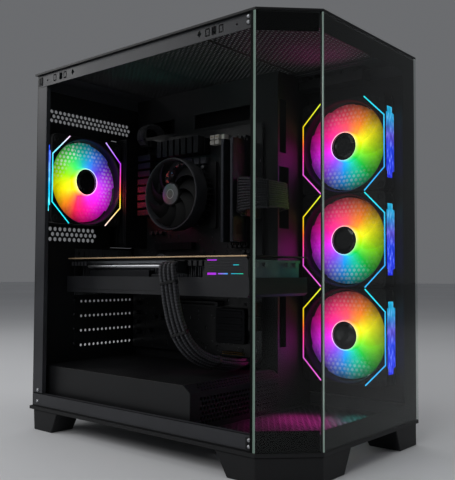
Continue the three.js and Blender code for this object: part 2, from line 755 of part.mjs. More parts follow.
// A hollow shell: the fan's well opens into it from the side, the inlet and the rocker from the rear.
function supplyCase() {
  const { x0, x1, y0, y1, z0, z1 } = supply;
  const body = block(x0, x1, y0, y1, z0, z1);
  const wall = supplyWall;
  const inside = block(x0 + wall, x1 - wall, y0 + wall, y1 - wall, z0 + wall, z1 - wall);
  const fanHole = bar('x', [supplyFanY, supplyFanZ], supplyFanHole, x1 - 2 * wall, x1 + 1, 28);
  const inletHole = block(inlet.x0 - gap, inlet.x1 + gap, y1 - 2 * wall, rear, inlet.z0 - gap, inlet.z1 + gap);
  const rockerHole = block(rocker.x0 - 1, rocker.x1 + 1, y1 - 2 * wall, rear, rocker.z0 - 1.5, rocker.z1 + 1.5);
  return cut(body, inside, fanHole, inletHole, rockerHole);
}

function supplyInlet() {
  const body = block(inlet.x0, inlet.x1, rear - 17, rear - 1.2, inlet.z0, inlet.z1);
  return cut(body, block(inlet.x0 + 2.5, inlet.x1 - 2.5, rear - 14, rear, inlet.z0 + 3, inlet.z1 - 3));
}

// The rocker's two faces meet in a shallow valley over its pivot.
function supplySwitch() {
  const middle = (rocker.z0 + rocker.z1) / 2;
  const face = supply.y1 + 2.4;
  const outline = [
    [supply.y1 - 3, middle - 4], [supply.y1 - 0.6, rocker.z0], [face - 1.2, rocker.z0],
    [face - 0.6, middle], [face, rocker.z1], [supply.y1 - 0.6, rocker.z1], [supply.y1 - 3, middle + 4],
  ];
  return sidePrism(outline, rocker.x0, rocker.x1);
}

// ---------- Assembly ----------

function addCase() {
  add('plinth', plinth(), ...plasticBlack);
  addFeet();
  add('bottom_filter', bottomFilter(), ...plasticBlack);
  add('floor_pan', floorPan(), ...steelBlack);
  add('rear_wall', rearWall(), ...steelBlack);
  add('top_frame', topFrame(), ...steelBlack);
  add('top_cover', topCover(), ...steelBlack);
  add('top_filter', topFilter(), ...plasticBlack);
  add('motherboard_tray', motherboardTray(), ...steelBlack);
  add('side_fan_bracket', sideFanBracket(), ...steelBlack);
  add('front_pillar', frontPillar(), ...steelBlack);
  add('right_panel', rightPanel(), ...steelBlack);
  add('thumbscrew_lower', thumbscrew(screwHeights[0]), ...bareMetal);
  add('thumbscrew_upper', thumbscrew(screwHeights[1]), ...bareMetal);
  addGlass();
  add('drive_cover', driveCover(), ...steelBlack);
  add('drive_cover_grille', coverGrille(), ...plasticBlack);
  add('power_button', button(powerButton.y, powerButton.radius), ...plasticBlack);
  add('reset_button', button(resetButton.y, resetButton.radius), ...plasticBlack);
  add('front_ports', frontPorts(), ...plasticBlack);
}

function addBoard() {
  add('motherboard', motherboard(), 0x0f1012, 0.6, 0);
  add('rear_ports', rearPorts(), ...bareMetal);
  add('rear_power_heatsink', finnedBlock(16, fromFront(352), fromFront(378), 285, 375, 9, 'z'), ...bareMetal);
  add('top_power_heatsink', finnedBlock(20, fromFront(262), fromFront(345), 367, 390, 8, 'y'), ...bareMetal);
  add('m2_heatsink', m2Heatsink(), ...steelBlack);
  add('cpu_heatsink', cpuHeatsink(), ...bareMetal);
  add('cpu_fan_frame', cpuFanFrame(), ...plasticBlack);
  add('memory_stick_rear', memoryStick(memorySlots[1]), ...steelBlack);
  add('memory_stick_front', memoryStick(memorySlots[3]), ...steelBlack);
}

function addCard() {
  add('card_backplate', cardBackplate(), 0x2a2622, 0.4, 0.7);
  add('card_circuit', cardCircuit(), 0x101214, 0.6, 0);
  add('card_heatsink', cardHeatsink(), ...bareMetal);
  add('card_shroud', cardShroud(), 0x2b2c30, 0.45, 0.2);
  add('card_bracket', cardBracket(), ...bareMetal);
  for (let slot = 3; slot < 7; slot += 1) {
    add(`slot_cover_${slot + 1}`, slotCover(firstSlotZ - slot * slotPitch), ...steelBlack);
  }
}

function addPower() {
  add('card_power_lead', cardPowerLead(), ...plasticBlack);
  add('board_power_lead', boardPowerLead(), ...plasticBlack);
  add('supply_case', supplyCase(), ...steelBlack);
  add('supply_inlet', supplyInlet(), ...plasticBlack);
  add('supply_switch', supplySwitch(), ...plasticBlack);
}

addCase();
addBoard();
addCard();
addPower();
addFans();

export default tower;
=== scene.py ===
"""Desktop computer tower: the looks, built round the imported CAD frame.

Shapes are given in millimetres and turned into metres when a piece is made. +Z is up, -Y is the
front and -X is the open window side. `depth(d)` is the Y of a point d millimetres behind the front.
"""
import math
import random

import bmesh
import bpy
from mathutils import Matrix, Vector


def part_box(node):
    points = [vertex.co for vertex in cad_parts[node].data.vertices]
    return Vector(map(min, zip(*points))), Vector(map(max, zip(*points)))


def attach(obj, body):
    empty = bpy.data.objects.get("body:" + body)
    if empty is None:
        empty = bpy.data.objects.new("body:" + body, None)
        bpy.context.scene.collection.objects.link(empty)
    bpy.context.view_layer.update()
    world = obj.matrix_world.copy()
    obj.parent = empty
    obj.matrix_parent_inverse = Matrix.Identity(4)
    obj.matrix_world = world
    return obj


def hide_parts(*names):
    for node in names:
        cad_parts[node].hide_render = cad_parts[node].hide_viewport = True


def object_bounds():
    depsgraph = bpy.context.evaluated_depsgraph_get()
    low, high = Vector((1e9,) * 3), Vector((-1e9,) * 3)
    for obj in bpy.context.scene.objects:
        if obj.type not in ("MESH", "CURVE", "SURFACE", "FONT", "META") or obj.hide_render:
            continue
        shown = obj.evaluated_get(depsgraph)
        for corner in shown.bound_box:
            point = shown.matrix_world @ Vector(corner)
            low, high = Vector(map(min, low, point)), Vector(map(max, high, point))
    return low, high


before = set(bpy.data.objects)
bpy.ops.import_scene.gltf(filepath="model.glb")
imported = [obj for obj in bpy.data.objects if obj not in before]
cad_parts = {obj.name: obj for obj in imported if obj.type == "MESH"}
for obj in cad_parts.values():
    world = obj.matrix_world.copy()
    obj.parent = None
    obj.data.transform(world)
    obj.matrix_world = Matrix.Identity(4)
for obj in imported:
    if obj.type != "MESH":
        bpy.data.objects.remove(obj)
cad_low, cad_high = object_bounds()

MM = 0.001
CLEARANCE = 0.15

# Case dimensions that every part shares
FRONT_Y = cad_low.y / MM
CORNER_X, CORNER_Y = 48, 49
SHEET = 1.2
FAN_BOLT = 52.5         # a 120 mm fan's screw holes, from its centre


def depth(d):
    """Y of a point d millimetres behind the front."""
    return FRONT_Y + d


def node_box(node):
    """A CAD node's lowest and highest corners, in millimetres."""
    low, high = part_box(node)
    return low / MM, high / MM


def srgb(code):
    """A linear colour from a hexadecimal one as a screen shows it."""
    channels = [((code >> shift) & 255) / 255 for shift in (16, 8, 0)]
    linear = [c / 12.92 if c <= 0.04045 else ((c + 0.055) / 1.055) ** 2.4 for c in channels]
    return (*linear, 1.0)


# ---------- Shapes ----------

def turn_x(u, v, w):
    return (w, u, v)


def turn_y(u, v, w):
    return (u, w, v)


def turn_z(u, v, w):
    return (u, v, w)


def facing(right, origin):
    """The frame of something that looks out along right x up: X right, Y up, Z towards the viewer."""
    right = Vector(right)
    up = Vector((0, 0, 1))
    out = right.cross(up)
    matrix = Matrix((right, up, out)).transposed().to_4x4()
    matrix.translation = Vector(origin)
    return matrix


def circle(radius, sides, turn=0.0, centre=(0, 0)):
    """Points round a circle; radius may be a function of the angle."""
    points = []
    for i in range(sides):
        angle = 2 * math.pi * i / sides + turn
        r = radius(angle) if callable(radius) else radius
        points.append((centre[0] + r * math.cos(angle), centre[1] + r * math.sin(angle)))
    return points


def rounded(x0, x1, y0, y1, radius, steps=3):
    """A rectangle's outline with round corners."""
    points = []
    corners = [(x1 - radius, y0 + radius, -90), (x1 - radius, y1 - radius, 0),
               (x0 + radius, y1 - radius, 90), (x0 + radius, y0 + radius, 180)]
    for cx, cy, start in corners:
        for i in range(steps + 1):
            angle = math.radians(start + 90 * i / steps)
            points.append((cx + radius * math.cos(angle), cy + radius * math.sin(angle)))
    return points


def plan(in_left, in_right, in_front, in_rear):
    """The tower's plan outline pulled in on each side, its window-side front corner cut off."""
    low, high = node_box("plinth")
    x0, y0 = low.x + in_left, low.y + in_front
    diagonal = math.hypot(CORNER_X, CORNER_Y)
    reach = low.x * CORNER_Y + (low.y + CORNER_Y) * CORNER_X + in_front * diagonal
    side_corner = (x0, (reach - x0 * CORNER_Y) / CORNER_X)
    front_corner = ((reach - y0 * CORNER_X) / CORNER_Y, y0)
    x1, y1 = high.x - in_right, high.y - in_rear
    return [(x0, y1), side_corner, front_corner, (x1, y0), (x1, y1)]


def smooth_path(points, steps):
    """A Catmull-Rom curve through the points, with steps spans between each pair."""
    ends = [2 * Vector(points[0]) - Vector(points[1]), 2 * Vector(points[-1]) - Vector(points[-2])]
    knots = [ends[0]] + [Vector(p) for p in points] + [ends[1]]
    path = []
    for a, b, c, e in zip(knots, knots[1:], knots[2:], knots[3:]):
        for i in range(steps):
            t = i / steps
            path.append(0.5 * (2 * b + (c - a) * t + (2 * a - 5 * b + 4 * c - e) * t * t
                               + (3 * b - a - 3 * c + e) * t ** 3))
    path.append(knots[-2])
    return path


def path_frames(path, up=(0, 0, 1)):
    """A point, a side and an upward direction at each step of a path, turning as little as it can."""
    frames = []
    side = None
    for i, point in enumerate(path):
        ahead = (path[min(i + 1, len(path) - 1)] - path[max(i - 1, 0)]).normalized()
        guide = Vector(up) if side is None else side.cross(ahead)
        if guide.length < 1e-3 or abs(guide.normalized().dot(ahead)) > 0.99:
            guide = Vector((0, 1, 0)) if abs(ahead.y) < 0.9 else Vector((1, 0, 0))
        side = ahead.cross(guide).normalized()
        frames.append((point, side, side.cross(ahead).normalized()))
    return frames


class Shape:
    """Points in millimetres and the faces between them; several closed solids can share one."""

    def __init__(self, place=None):
        self.points = []
        self.faces = []
        self.place = place

    def add(self, points, faces, place=None):
        base = len(self.points)
        place = place or self.place
        for point in points:
            self.points.append(place @ Vector(point) if place else Vector(point))
        self.faces.extend([[base + i for i in face] for face in faces])
        return self

    def box(self, x0, x1, y0, y1, z0, z1):
        outline = [(x0, y0), (x1, y0), (x1, y1), (x0, y1)]
        return self.prism(outline, z0, z1)

    def prism(self, outline, low, high, turn=turn_z, taper=None):
        """An outline run from low to high; taper is the outline at the high end, if it differs."""
        count = len(outline)
        points = [turn(u, v, low) for u, v in outline]
        points += [turn(u, v, high) for u, v in taper or outline]
        faces = [list(range(count)), list(range(count, 2 * count))]
        faces += [[i, (i + 1) % count, count + (i + 1) % count, count + i] for i in range(count)]
        return self.add(points, faces)

    def rings(self, rings, closed=False, place=None):
        """A skin over rings of equal length; capped at both ends, or closed into a loop."""
        count, total = len(rings[0]), len(rings)
        faces = []
        for r in range(total if closed else total - 1):
            a, b = r * count, (r + 1) % total * count
            faces += [[a + i, a + (i + 1) % count, b + (i + 1) % count, b + i] for i in range(count)]
        if not closed:
            faces += [list(range(count)), list(range((total - 1) * count, total * count))]
        return self.add([p for ring in rings for p in ring], faces, place)

    def lathe(self, profile, sides=32, closed=False, turn=turn_z, centre=(0, 0)):
        """A profile of (radius, height) turned about an axis; a radius may be a function of the angle."""
        rings = [[turn(u, v, h) for u, v in circle(r, sides, 0, centre)] for r, h in profile]
        return self.rings(rings, closed)

    def tube(self, path, radius, sides=8):
        """A round bar along a path; radius may be a function of the share of the way along."""
        rings = []
        for i, (point, side, up) in enumerate(path_frames(path)):
            r = radius(i / (len(path) - 1)) if callable(radius) else radius
            rings.append([point + side * u + up * v for u, v in circle(r, sides)])
        return self.rings(rings)

    def perforated(self, area, pitch, hole, thickness, turn=turn_z, keep=None, solid=None):
        """A plate of staggered bricks, each with one six-sided hole.

        area is (u0, u1, v0, v1) and thickness (low, high). keep(u, v) says whether a brick is there,
        and solid(u, v) whether it has no hole.
        """
        u0, u1, v0, v1 = area
        rows = max(1, round((v1 - v0) / pitch[1]))
        row_height = (v1 - v0) / rows
        across = math.ceil((u1 - u0) / pitch[0]) + 1
        index, edges = {}, {}
        points, faces = [], []

        def corner(u, v):
            key = (round(min(max(u, u0), u1), 3), round(v, 3))
            if key not in index:
                index[key] = len(points)
                points.extend([turn(*key, thickness[0]), turn(*key, thickness[1])])
            return index[key]

        for row in range(rows):
            v = v0 + (row + 0.5) * row_height
            for column in range(across):
                u = u0 + (column + 0.5 * (row % 2)) * pitch[0]
                if u - pitch[0] / 2 >= u1 or (keep and not keep(u, v)):
                    continue
                half = (pitch[0] / 2, row_height / 2)
                steps = [(-1, -1), (0, -1), (1, -1), (1, 1), (0, 1), (-1, 1)]
                ring = [corner(u + a * half[0], v + b * half[1]) for a, b in steps]
                whole = u - half[0] >= u0 - 0.01 and u + half[0] <= u1 + 0.01
                if whole and not (solid and solid(u, v)):
                    base = len(points)
                    for a, b in hole:
                        points.extend([turn(u + a, v + b, thickness[0]), turn(u + a, v + b, thickness[1])])
                    inner = [base + 2 * i for i in range(6)]
                    for i in range(6):
                        j = (i + 1) % 6
                        faces.append([ring[i], ring[j], inner[j], inner[i]])
                        faces.append([ring[i] + 1, ring[j] + 1, inner[j] + 1, inner[i] + 1])
                        faces.append([inner[i], inner[j], inner[j] + 1, inner[i] + 1])
                else:
                    ring = list(dict.fromkeys(ring))
                    faces.append(ring)
                    faces.append([i + 1 for i in ring])
                for a, b in zip(ring, ring[1:] + ring[:1]):
                    if edges.pop((b, a), None) is None:
                        edges[(a, b)] = True
        faces.extend([[a, b, b + 1, a + 1] for a, b in edges])
        return self.add(points, faces)

    def mesh(self, name):
        """A mesh of it, in metres."""
        mesh = bpy.data.meshes.new(name)
        mesh.from_pydata([point * MM for point in self.points], [], self.faces)
        return mesh


def hex_hole(radius):
    """A six-sided hole that suits Shape.perforated."""
    return [(radius * math.cos(math.radians(a)), radius * math.sin(math.radians(a)))
            for a in (-150, -90, -30, 30, 90, 150)]


def slot_hole(length, width):
    """A long hole that suits Shape.perforated."""
    u, v = length / 2, width / 2
    return [(-u, -v), (0, -v), (u, -v), (u, v), (0, v), (-u, v)]


# ---------- Pieces ----------

def finish_mesh(mesh, sharp):
    """Faces turned outwards, and smooth except across edges sharper than the angle."""
    work = bmesh.new()
    work.from_mesh(mesh)
    bmesh.ops.remove_doubles(work, verts=work.verts, dist=1e-7)
    bmesh.ops.recalc_face_normals(work, faces=work.faces)
    work.to_mesh(mesh)
    work.free()
    mesh.shade_smooth()
    mesh.set_sharp_from_angle(angle=math.radians(sharp))


def bevelled(obj, width, segments=2):
    """Rounds an object's edges by a width in millimetres."""
    bevel = obj.modifiers.new("edge", "BEVEL")
    bevel.width = width * MM
    bevel.segments = segments
    bevel.limit_method = "ANGLE"
    bevel.angle_limit = math.radians(35)
    bevel.harden_normals = True
    return obj


def piece(name, shape, look, body="chassis", replaces=(), bevel=0.0, segments=2, sharp=35,
          place=None):
    """A named object made from a Shape or a mesh, riding on a CAD body."""
    mesh = shape.mesh(name) if isinstance(shape, Shape) else shape
    finish_mesh(mesh, sharp)
    mesh.materials.clear()
    mesh.materials.append(look)
    obj = bpy.data.objects.new(name, mesh)
    bpy.context.scene.collection.objects.link(obj)
    if place is not None:
        matrix = place.copy()
        matrix.translation = place.translation * MM
        obj.matrix_world = matrix
    if bevel:
        bevelled(obj, bevel, segments)
    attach(obj, body)
    if replaces:
        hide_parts(*replaces)
    return obj


def clean_copy(node):
    """A CAD node's mesh with its flat faces whole again."""
    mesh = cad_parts[node].data.copy()
    work = bmesh.new()
    work.from_mesh(mesh)
    bmesh.ops.remove_doubles(work, verts=work.verts, dist=2e-6)
    bmesh.ops.dissolve_limit(work, angle_limit=math.radians(0.5), verts=work.verts, edges=work.edges)
    work.to_mesh(mesh)
    work.free()
    return mesh


def carved(mesh, cutter):
    """The mesh less a Shape, both closed."""
    work = bpy.data.objects.new("work", mesh)
    tool = bpy.data.objects.new("tool", shape_mesh(cutter))
    for obj in (work, tool):
        bpy.context.scene.collection.objects.link(obj)
    cut = work.modifiers.new("cut", "BOOLEAN")
    cut.operation = "DIFFERENCE"
    cut.solver = "MANIFOLD"
    cut.object = tool
    bpy.context.view_layer.update()
    result = bpy.data.meshes.new_from_object(work.evaluated_get(bpy.context.evaluated_depsgraph_get()))
    bpy.data.objects.remove(work)
    bpy.data.objects.remove(tool)
    return result


def shape_mesh(shape):
    """A Shape as a closed mesh, ready to be carved."""
    mesh = shape.mesh("solid")
    finish_mesh(mesh, 30)
    return mesh


def copied(name, node, look, bevel=0.3, cutter=None, body="chassis"):
    """A CAD node's own shape as a piece with clean edges, less a cutter."""
    mesh = clean_copy(node)
    if cutter:
        mesh = carved(mesh, cutter)
    return piece(name, mesh, look, body, (node,), bevel)


# ---------- Materials ----------

class Look:
    """A node material on a Principled shader, built a node at a time."""

    def __init__(self, name, roughness=0.5, metallic=0.0, **sockets):
        self.material = bpy.data.materials.new(name)
        self.material.use_nodes = True
        self.tree = self.material.node_tree
        self.shader = self.tree.nodes["Principled BSDF"]
        self.output = self.tree.nodes["Material Output"]
        self.place = self.node("ShaderNodeTexCoord").outputs["Object"]
        self.set("Roughness", roughness)
        self.set("Metallic", metallic)
        sockets.setdefault("specular_ior_level", 0.32)
        for socket, value in sockets.items():
            self.set(socket.replace("_", " ").title().replace("Ior", "IOR"), value)

    def set(self, socket, value):
        self.shader.inputs[socket].default_value = value

    def node(self, kind, **settings):
        made = self.tree.nodes.new(kind)
        for key, value in settings.items():
            setattr(made, key, value)
        return made

    def link(self, value, socket):
        """Joins an output to a socket, or to the shader's socket of that name."""
        target = self.shader.inputs[socket] if isinstance(socket, str) else socket
        self.tree.links.new(value, target)

    def stretched(self, scale):
        """The object's own coordinates, scaled on each axis."""
        mapping = self.node("ShaderNodeMapping")
        mapping.inputs["Scale"].default_value = scale
        self.link(self.place, mapping.inputs["Vector"])
        return mapping.outputs["Vector"]

    def noise(self, scale, detail=2.0, vector=None):
        made = self.node("ShaderNodeTexNoise")
        made.inputs["Scale"].default_value = scale
        made.inputs["Detail"].default_value = detail
        self.link(vector or self.place, made.inputs["Vector"])
        return made.outputs["Fac"]

    def cells(self, scale, feature="F1", vector=None, output="Distance"):
        made = self.node("ShaderNodeTexVoronoi", feature=feature)
        made.inputs["Scale"].default_value = scale
        self.link(vector or self.place, made.inputs["Vector"])
        return made.outputs[output]

    def math(self, operation, a, b=None, clamp=False):
        made = self.node("ShaderNodeMath", operation=operation, use_clamp=clamp)
        for value, socket in ((a, made.inputs[0]), (b, made.inputs[1])):
            if value is None:
                continue
            if isinstance(value, (int, float)):
                socket.default_value = value
            else:
                self.link(value, socket)
        return made.outputs[0]

    def ramp(self, factor, stops, interpolation="LINEAR"):
        """A colour ramp; stops are (place, colour)."""
        made = self.node("ShaderNodeValToRGB")
        ramp = made.color_ramp
        ramp.interpolation = interpolation
        while len(ramp.elements) < len(stops):
            ramp.elements.new(0.5)
        for element, (place, colour) in zip(ramp.elements, stops):
            element.position = place
            element.color = colour
        self.link(factor, made.inputs["Fac"])
        return made.outputs["Color"]

    def spread(self, factor, low, high, from_low=0.0, from_high=1.0):
        """A value mapped to another range."""
        made = self.node("ShaderNodeMapRange")
        ranges = (("From Min", from_low), ("From Max", from_high), ("To Min", low), ("To Max", high))
        for socket, value in ranges:
            made.inputs[socket].default_value = value
        self.link(factor, made.inputs["Value"])
        return made.outputs["Result"]

    def mix(self, factor, a, b, blend="MIX"):
        """Two colours mixed; each input is a colour or an output."""
        made = self.node("ShaderNodeMix", data_type="RGBA", blend_type=blend)
        for value, socket in ((factor, 0), (a, 6), (b, 7)):
            if isinstance(value, (int, float, tuple)):
                made.inputs[socket].default_value = value
            else:
                self.link(value, made.inputs[socket])
        return made.outputs[2]

    def bump(self, height, strength, distance):
        """Relief from a height; distance is in millimetres."""
        made = self.node("ShaderNodeBump")
        made.inputs["Strength"].default_value = strength
        made.inputs["Distance"].default_value = distance * MM
        self.link(height, made.inputs["Height"])
        self.link(made.outputs["Normal"], "Normal")

    def axes(self):
        """The object's own X, Y and Z."""
        parts = self.node("ShaderNodeSeparateXYZ")
        self.link(self.place, parts.inputs[0])
        return parts.outputs


def grained(name, low, high, roughness, grain, relief, metallic=0.0, patch=14, **sockets):
    """A surface of one colour that drifts a little, with a fine grain.

    low and high are the colours it drifts between, and roughness the two that it varies between.
    grain is the size of its bumps and relief their height, in millimetres.
    """
    look = Look(name, roughness[0], metallic, **sockets)
    drift = look.noise(patch, 4)
    look.link(look.ramp(drift, [(0.35, low), (0.65, high)]), "Base Color")
    fine = look.noise(1000 / grain, 3)
    wear = look.math("ADD", look.math("MULTIPLY", drift, 0.6), look.math("MULTIPLY", fine, 0.4))
    look.link(look.spread(wear, *roughness, 0.3, 0.7), "Roughness")
    look.bump(fine, 0.6, relief)
    return look.material


def brushed(name, colour, roughness, stretch, metallic=1.0, relief=0.02):
    """Metal with long fine scratches; stretch scales the noise on each axis."""
    look = Look(name, roughness, metallic)
    streaks = look.noise(1, 5, look.stretched(stretch))
    darker = tuple(c * 0.72 for c in colour[:3]) + (1.0,)
    look.link(look.ramp(streaks, [(0.3, darker), (0.7, colour)]), "Base Color")
    smudges = look.noise(60, 3)
    mixed = look.math("ADD", look.math("MULTIPLY", streaks, 0.6), look.math("MULTIPLY", smudges, 0.4))
    look.link(look.spread(mixed, roughness - 0.08, roughness + 0.14, 0.3, 0.7), "Roughness")
    look.bump(streaks, 0.5, relief)
    return look.material


def solder_mask():
    """Black circuit board: faint tracks and vias under a glossy mask."""
    look = Look("black_solder_mask", 0.38, 0.0, coat_weight=0.25, coat_roughness=0.2)
    tracks = look.node("ShaderNodeTexBrick", offset=0.37, squash=1.6, squash_frequency=3)
    tracks.inputs["Scale"].default_value = 130
    tracks.inputs["Mortar Size"].default_value = 0.012
    tracks.inputs["Color1"].default_value = (0, 0, 0, 1)
    tracks.inputs["Color2"].default_value = (0.15, 0.15, 0.15, 1)
    tracks.inputs["Mortar"].default_value = (1, 1, 1, 1)
    turned = look.node("ShaderNodeMapping")
    turned.inputs["Rotation"].default_value = (0, math.radians(90), 0)
    look.link(look.place, turned.inputs["Vector"])
    look.link(turned.outputs["Vector"], tracks.inputs["Vector"])
    vias = look.spread(look.cells(330, vector=turned.outputs["Vector"]), 1, 0, 0.08, 0.16)
    relief = look.math("ADD", tracks.outputs["Fac"], look.math("MULTIPLY", vias, 0.7))
    colour = look.ramp(relief, [(0.0, srgb(0x0C0D0F)), (1.0, srgb(0x1E2024))])
    look.link(colour, "Base Color")
    look.link(look.spread(look.noise(90, 3), 0.3, 0.48, 0.3, 0.7), "Roughness")
    look.bump(relief, 0.6, 0.05)
    return look.material


def braided_sleeve():
    """Black braid: two sets of strands that cross, on the wire's own length and turn."""
    look = Look("black_braided_sleeve", 0.5, 0.0, specular_ior_level=0.35)
    strands = look.node("ShaderNodeTexChecker")
    strands.inputs["Scale"].default_value = 1.0
    turned = look.node("ShaderNodeMapping")
    turned.inputs["Rotation"].default_value = (0, 0, math.radians(45))
    turned.inputs["Scale"].default_value = (0.9, 0.9, 1)
    uv = look.node("ShaderNodeUVMap", uv_map="weave")
    look.link(uv.outputs["UV"], turned.inputs["Vector"])
    look.link(turned.outputs["Vector"], strands.inputs["Vector"])
    waves = look.node("ShaderNodeTexWave", wave_type="BANDS", bands_direction="X")
    waves.inputs["Scale"].default_value = 1.6
    look.link(turned.outputs["Vector"], waves.inputs["Vector"])
    height = look.math("ADD", strands.outputs["Fac"], look.math("MULTIPLY", waves.outputs["Fac"], 0.6))
    # Painted shade and highlight: the colour runs from near black in the gaps between strands to grey on the
    # raised strands.
    look.link(look.ramp(height, [(0.0, srgb(0x020202)), (1.0, srgb(0x45464B))]), "Base Color")
    look.link(look.spread(height, 0.65, 0.38, 0, 1.6), "Roughness")
    look.bump(height, 0.9, 0.5)
    return look.material


def tempered_glass():
    """Lightly tinted clear glass; a shadow ray goes straight through it."""
    look = Look("tinted_tempered_glass", 0.0, 0.0, transmission_weight=1.0, ior=1.2)
    haze = look.noise(9, 3)
    look.link(look.ramp(haze, [(0.3, srgb(0xD5DBD9)), (0.7, srgb(0xDCE2E0))]), "Base Color")
    path = look.node("ShaderNodeLightPath")
    clear = look.node("ShaderNodeBsdfTransparent")
    clear.inputs["Color"].default_value = srgb(0xDADFDD)
    mixed = look.node("ShaderNodeMixShader")
    look.link(path.outputs["Is Shadow Ray"], mixed.inputs[0])
    look.link(look.shader.outputs[0], mixed.inputs[1])
    look.link(clear.outputs[0], mixed.inputs[2])
    look.link(mixed.outputs[0], look.output.inputs["Surface"])
    return look.material


def polished_edge_painted_glow():
    """The ground and polished edge of the glass: its green tint, painted pale and given a faint glow for the
    light that the edge catches.
    """
    look = Look("green_glass_edge_painted_glow", 0.18, 0.0, coat_weight=0.6)
    streaks = look.noise(1, 3, look.stretched((60, 60, 8)))
    look.link(look.ramp(streaks, [(0.3, srgb(0x7E928A)), (0.7, srgb(0xAEBFB7))]), "Base Color")
    look.link(look.spread(streaks, 0.12, 0.3), "Roughness")
    # Painted light: a faint pale green emission stands in for the light caught in the edge.
    look.set("Emission Color", srgb(0xBFD6CB))
    look.set("Emission Strength", 0.12)
    return look.material


def wheel(look, stops):
    """The hue round the fan's own axis; stops are (degrees clockwise from the top, colour)."""
    x, y, _ = look.axes()
    angle = look.math("ARCTAN2", x, y)
    share = look.math("MULTIPLY", look.math("ADD", angle, math.pi), 1 / (2 * math.pi))
    placed = sorted((((degrees + 180) % 360) / 360, colour) for degrees, colour in stops)
    seam = mid_colour(placed[-1], placed[0])
    placed = [(0.0, seam)] + placed + [(1.0, seam)]
    return look.ramp(share, placed)


def mid_colour(last, first):
    """The colour at the seam of a wheel, between its last stop and its first."""
    gap_before, gap_after = 1 - last[0], first[0]
    share = gap_before / (gap_before + gap_after)
    return tuple(a + (b - a) * share for a, b in zip(last[1], first[1]))


def staggered_dots(look, pitch, radius):
    """1 inside the dots of a staggered grid on the object's own X and Y, and 0 between them."""
    x, y, _ = look.axes()
    across, along = pitch * MM, pitch * MM * 1.732
    nearest = None
    for shift in (0.0, 0.5):
        offsets = []
        for value, step in ((x, across), (y, along)):
            share = look.math("FRACT", look.math("ADD", look.math("DIVIDE", value, step), 100 + shift))
            from_middle = look.math("MULTIPLY", look.math("SUBTRACT", share, 0.5), step)
            offsets.append(look.math("MULTIPLY", from_middle, from_middle))
        distance = look.math("SQRT", look.math("ADD", *offsets))
        nearest = distance if nearest is None else look.math("MINIMUM", nearest, distance)
    return look.spread(nearest, 1, 0, radius * 0.7 * MM, radius * 1.1 * MM)


def lit_wheel(name, stops, span, glow, pastel, alpha=1.0, painted_vent_light=()):
    """Frosted plastic lit from the hub: brightest and palest at the inner radius of the span.

    span is the inner and outer radius in millimetres, and glow the strength at each of them.
    The last argument gives (degrees clockwise from the top, strength) stops for how strongly its painted dots
    show: painted light of the bright vent holes behind the fan, as if seen through the blades.
    """
    look = Look(name, 0.5, 0.0, specular_ior_level=0.08)
    look.set("Alpha", alpha)
    hue = wheel(look, stops)
    x, y, _ = look.axes()
    radius = look.math("SQRT", look.math("ADD", look.math("MULTIPLY", x, x), look.math("MULTIPLY", y, y)))
    share = look.spread(radius, 0, 1, span[0] * MM, span[1] * MM)
    streaks = look.spread(look.noise(1, 3, look.stretched((160, 160, 40))), -0.06, 0.06, 0.3, 0.7)
    share = look.math("ADD", share, streaks, clamp=True)
    pale = look.math("MULTIPLY", look.math("POWER", look.math("SUBTRACT", 1.0, share), 3.0), pastel)
    look.link(look.mix(0.85, hue, (0, 0, 0, 1)), "Base Color")
    colour = look.mix(pale, hue, (1, 1, 1, 1))
    # Painted light: staggered white dots mixed into the glow stand in for the bright vent holes behind the
    # fan.
    if painted_vent_light:
        shown = wheel(look, [(degrees, (v, v, v, 1)) for degrees, v in painted_vent_light])
        outer = look.spread(radius, 0, 1, 30 * MM, 42 * MM)
        dots = look.math("MULTIPLY", look.math("MULTIPLY", staggered_dots(look, 6.2, 2.1), shown), outer)
        colour = look.mix(dots, colour, (1, 1, 1, 1))
    look.link(colour, "Emission Color")
    look.link(look.spread(share, *glow), "Emission Strength")
    look.link(look.spread(look.noise(500, 3), 0.42, 0.58, 0.3, 0.7), "Roughness")
    look.bump(look.noise(900, 2), 0.3, 0.05)
    return look.material


def lit_line(name, stops, strength, span, spots=False, axis=1):
    """A light guide whose hue runs along one of its own axes; span is its half length in millimetres."""
    look = Look(name, 0.3, 0.0)
    share = look.spread(look.axes()[axis], 0, 1, -span * MM, span * MM)
    colour = look.ramp(share, stops)
    look.link(look.mix(0.8, colour, (0, 0, 0, 1)), "Base Color")
    if spots:
        glints = look.noise(1, 2, look.stretched((420, 90, 420)))
        colour = look.mix(look.spread(glints, 0, 0.3, 0.52, 0.72), colour, (0.75, 0.92, 1, 1))
        look.link(look.spread(glints, strength * 0.55, strength * 1.3, 0.3, 0.7), "Emission Strength")
    else:
        look.link(look.spread(look.noise(120, 2), strength * 0.9, strength * 1.1, 0.3, 0.7),
                  "Emission Strength")
    look.link(colour, "Emission Color")
    look.link(look.spread(look.noise(300, 2), 0.22, 0.4), "Roughness")
    return look.material


RED, SALMON, ORANGE, YELLOW = srgb(0xFF1430), srgb(0xF5505A), srgb(0xFF8A1E), srgb(0xF5E600)
LIME, GREEN, TEAL, CYAN = srgb(0x86DC00), srgb(0x00C43C), srgb(0x00BFA8), srgb(0x18C8F0)
BLUE, DEEP_BLUE, VIOLET = srgb(0x1E6BFF), srgb(0x0A28F0), srgb(0x8A4AF0)
PURPLE, MAGENTA, HOT_PINK = srgb(0xB02AF5), srgb(0xF01CF0), srgb(0xFF1496)

SIDE_HUES = [(0, SALMON), (34, ORANGE), (66, YELLOW), (108, LIME), (138, GREEN), (165, TEAL),
             (190, srgb(0x0096F0)), (222, VIOLET), (262, MAGENTA), (300, HOT_PINK), (335, srgb(0xFF3C78))]
REAR_HUES = [(0, srgb(0x00A8A0)), (28, srgb(0x2A78E0)), (58, srgb(0x5A2AC8)), (90, srgb(0xC83CF5)),
             (130, MAGENTA), (174, HOT_PINK), (198, srgb(0xFF2850)), (220, ORANGE), (250, YELLOW),
             (290, LIME), (330, srgb(0x32D25A))]
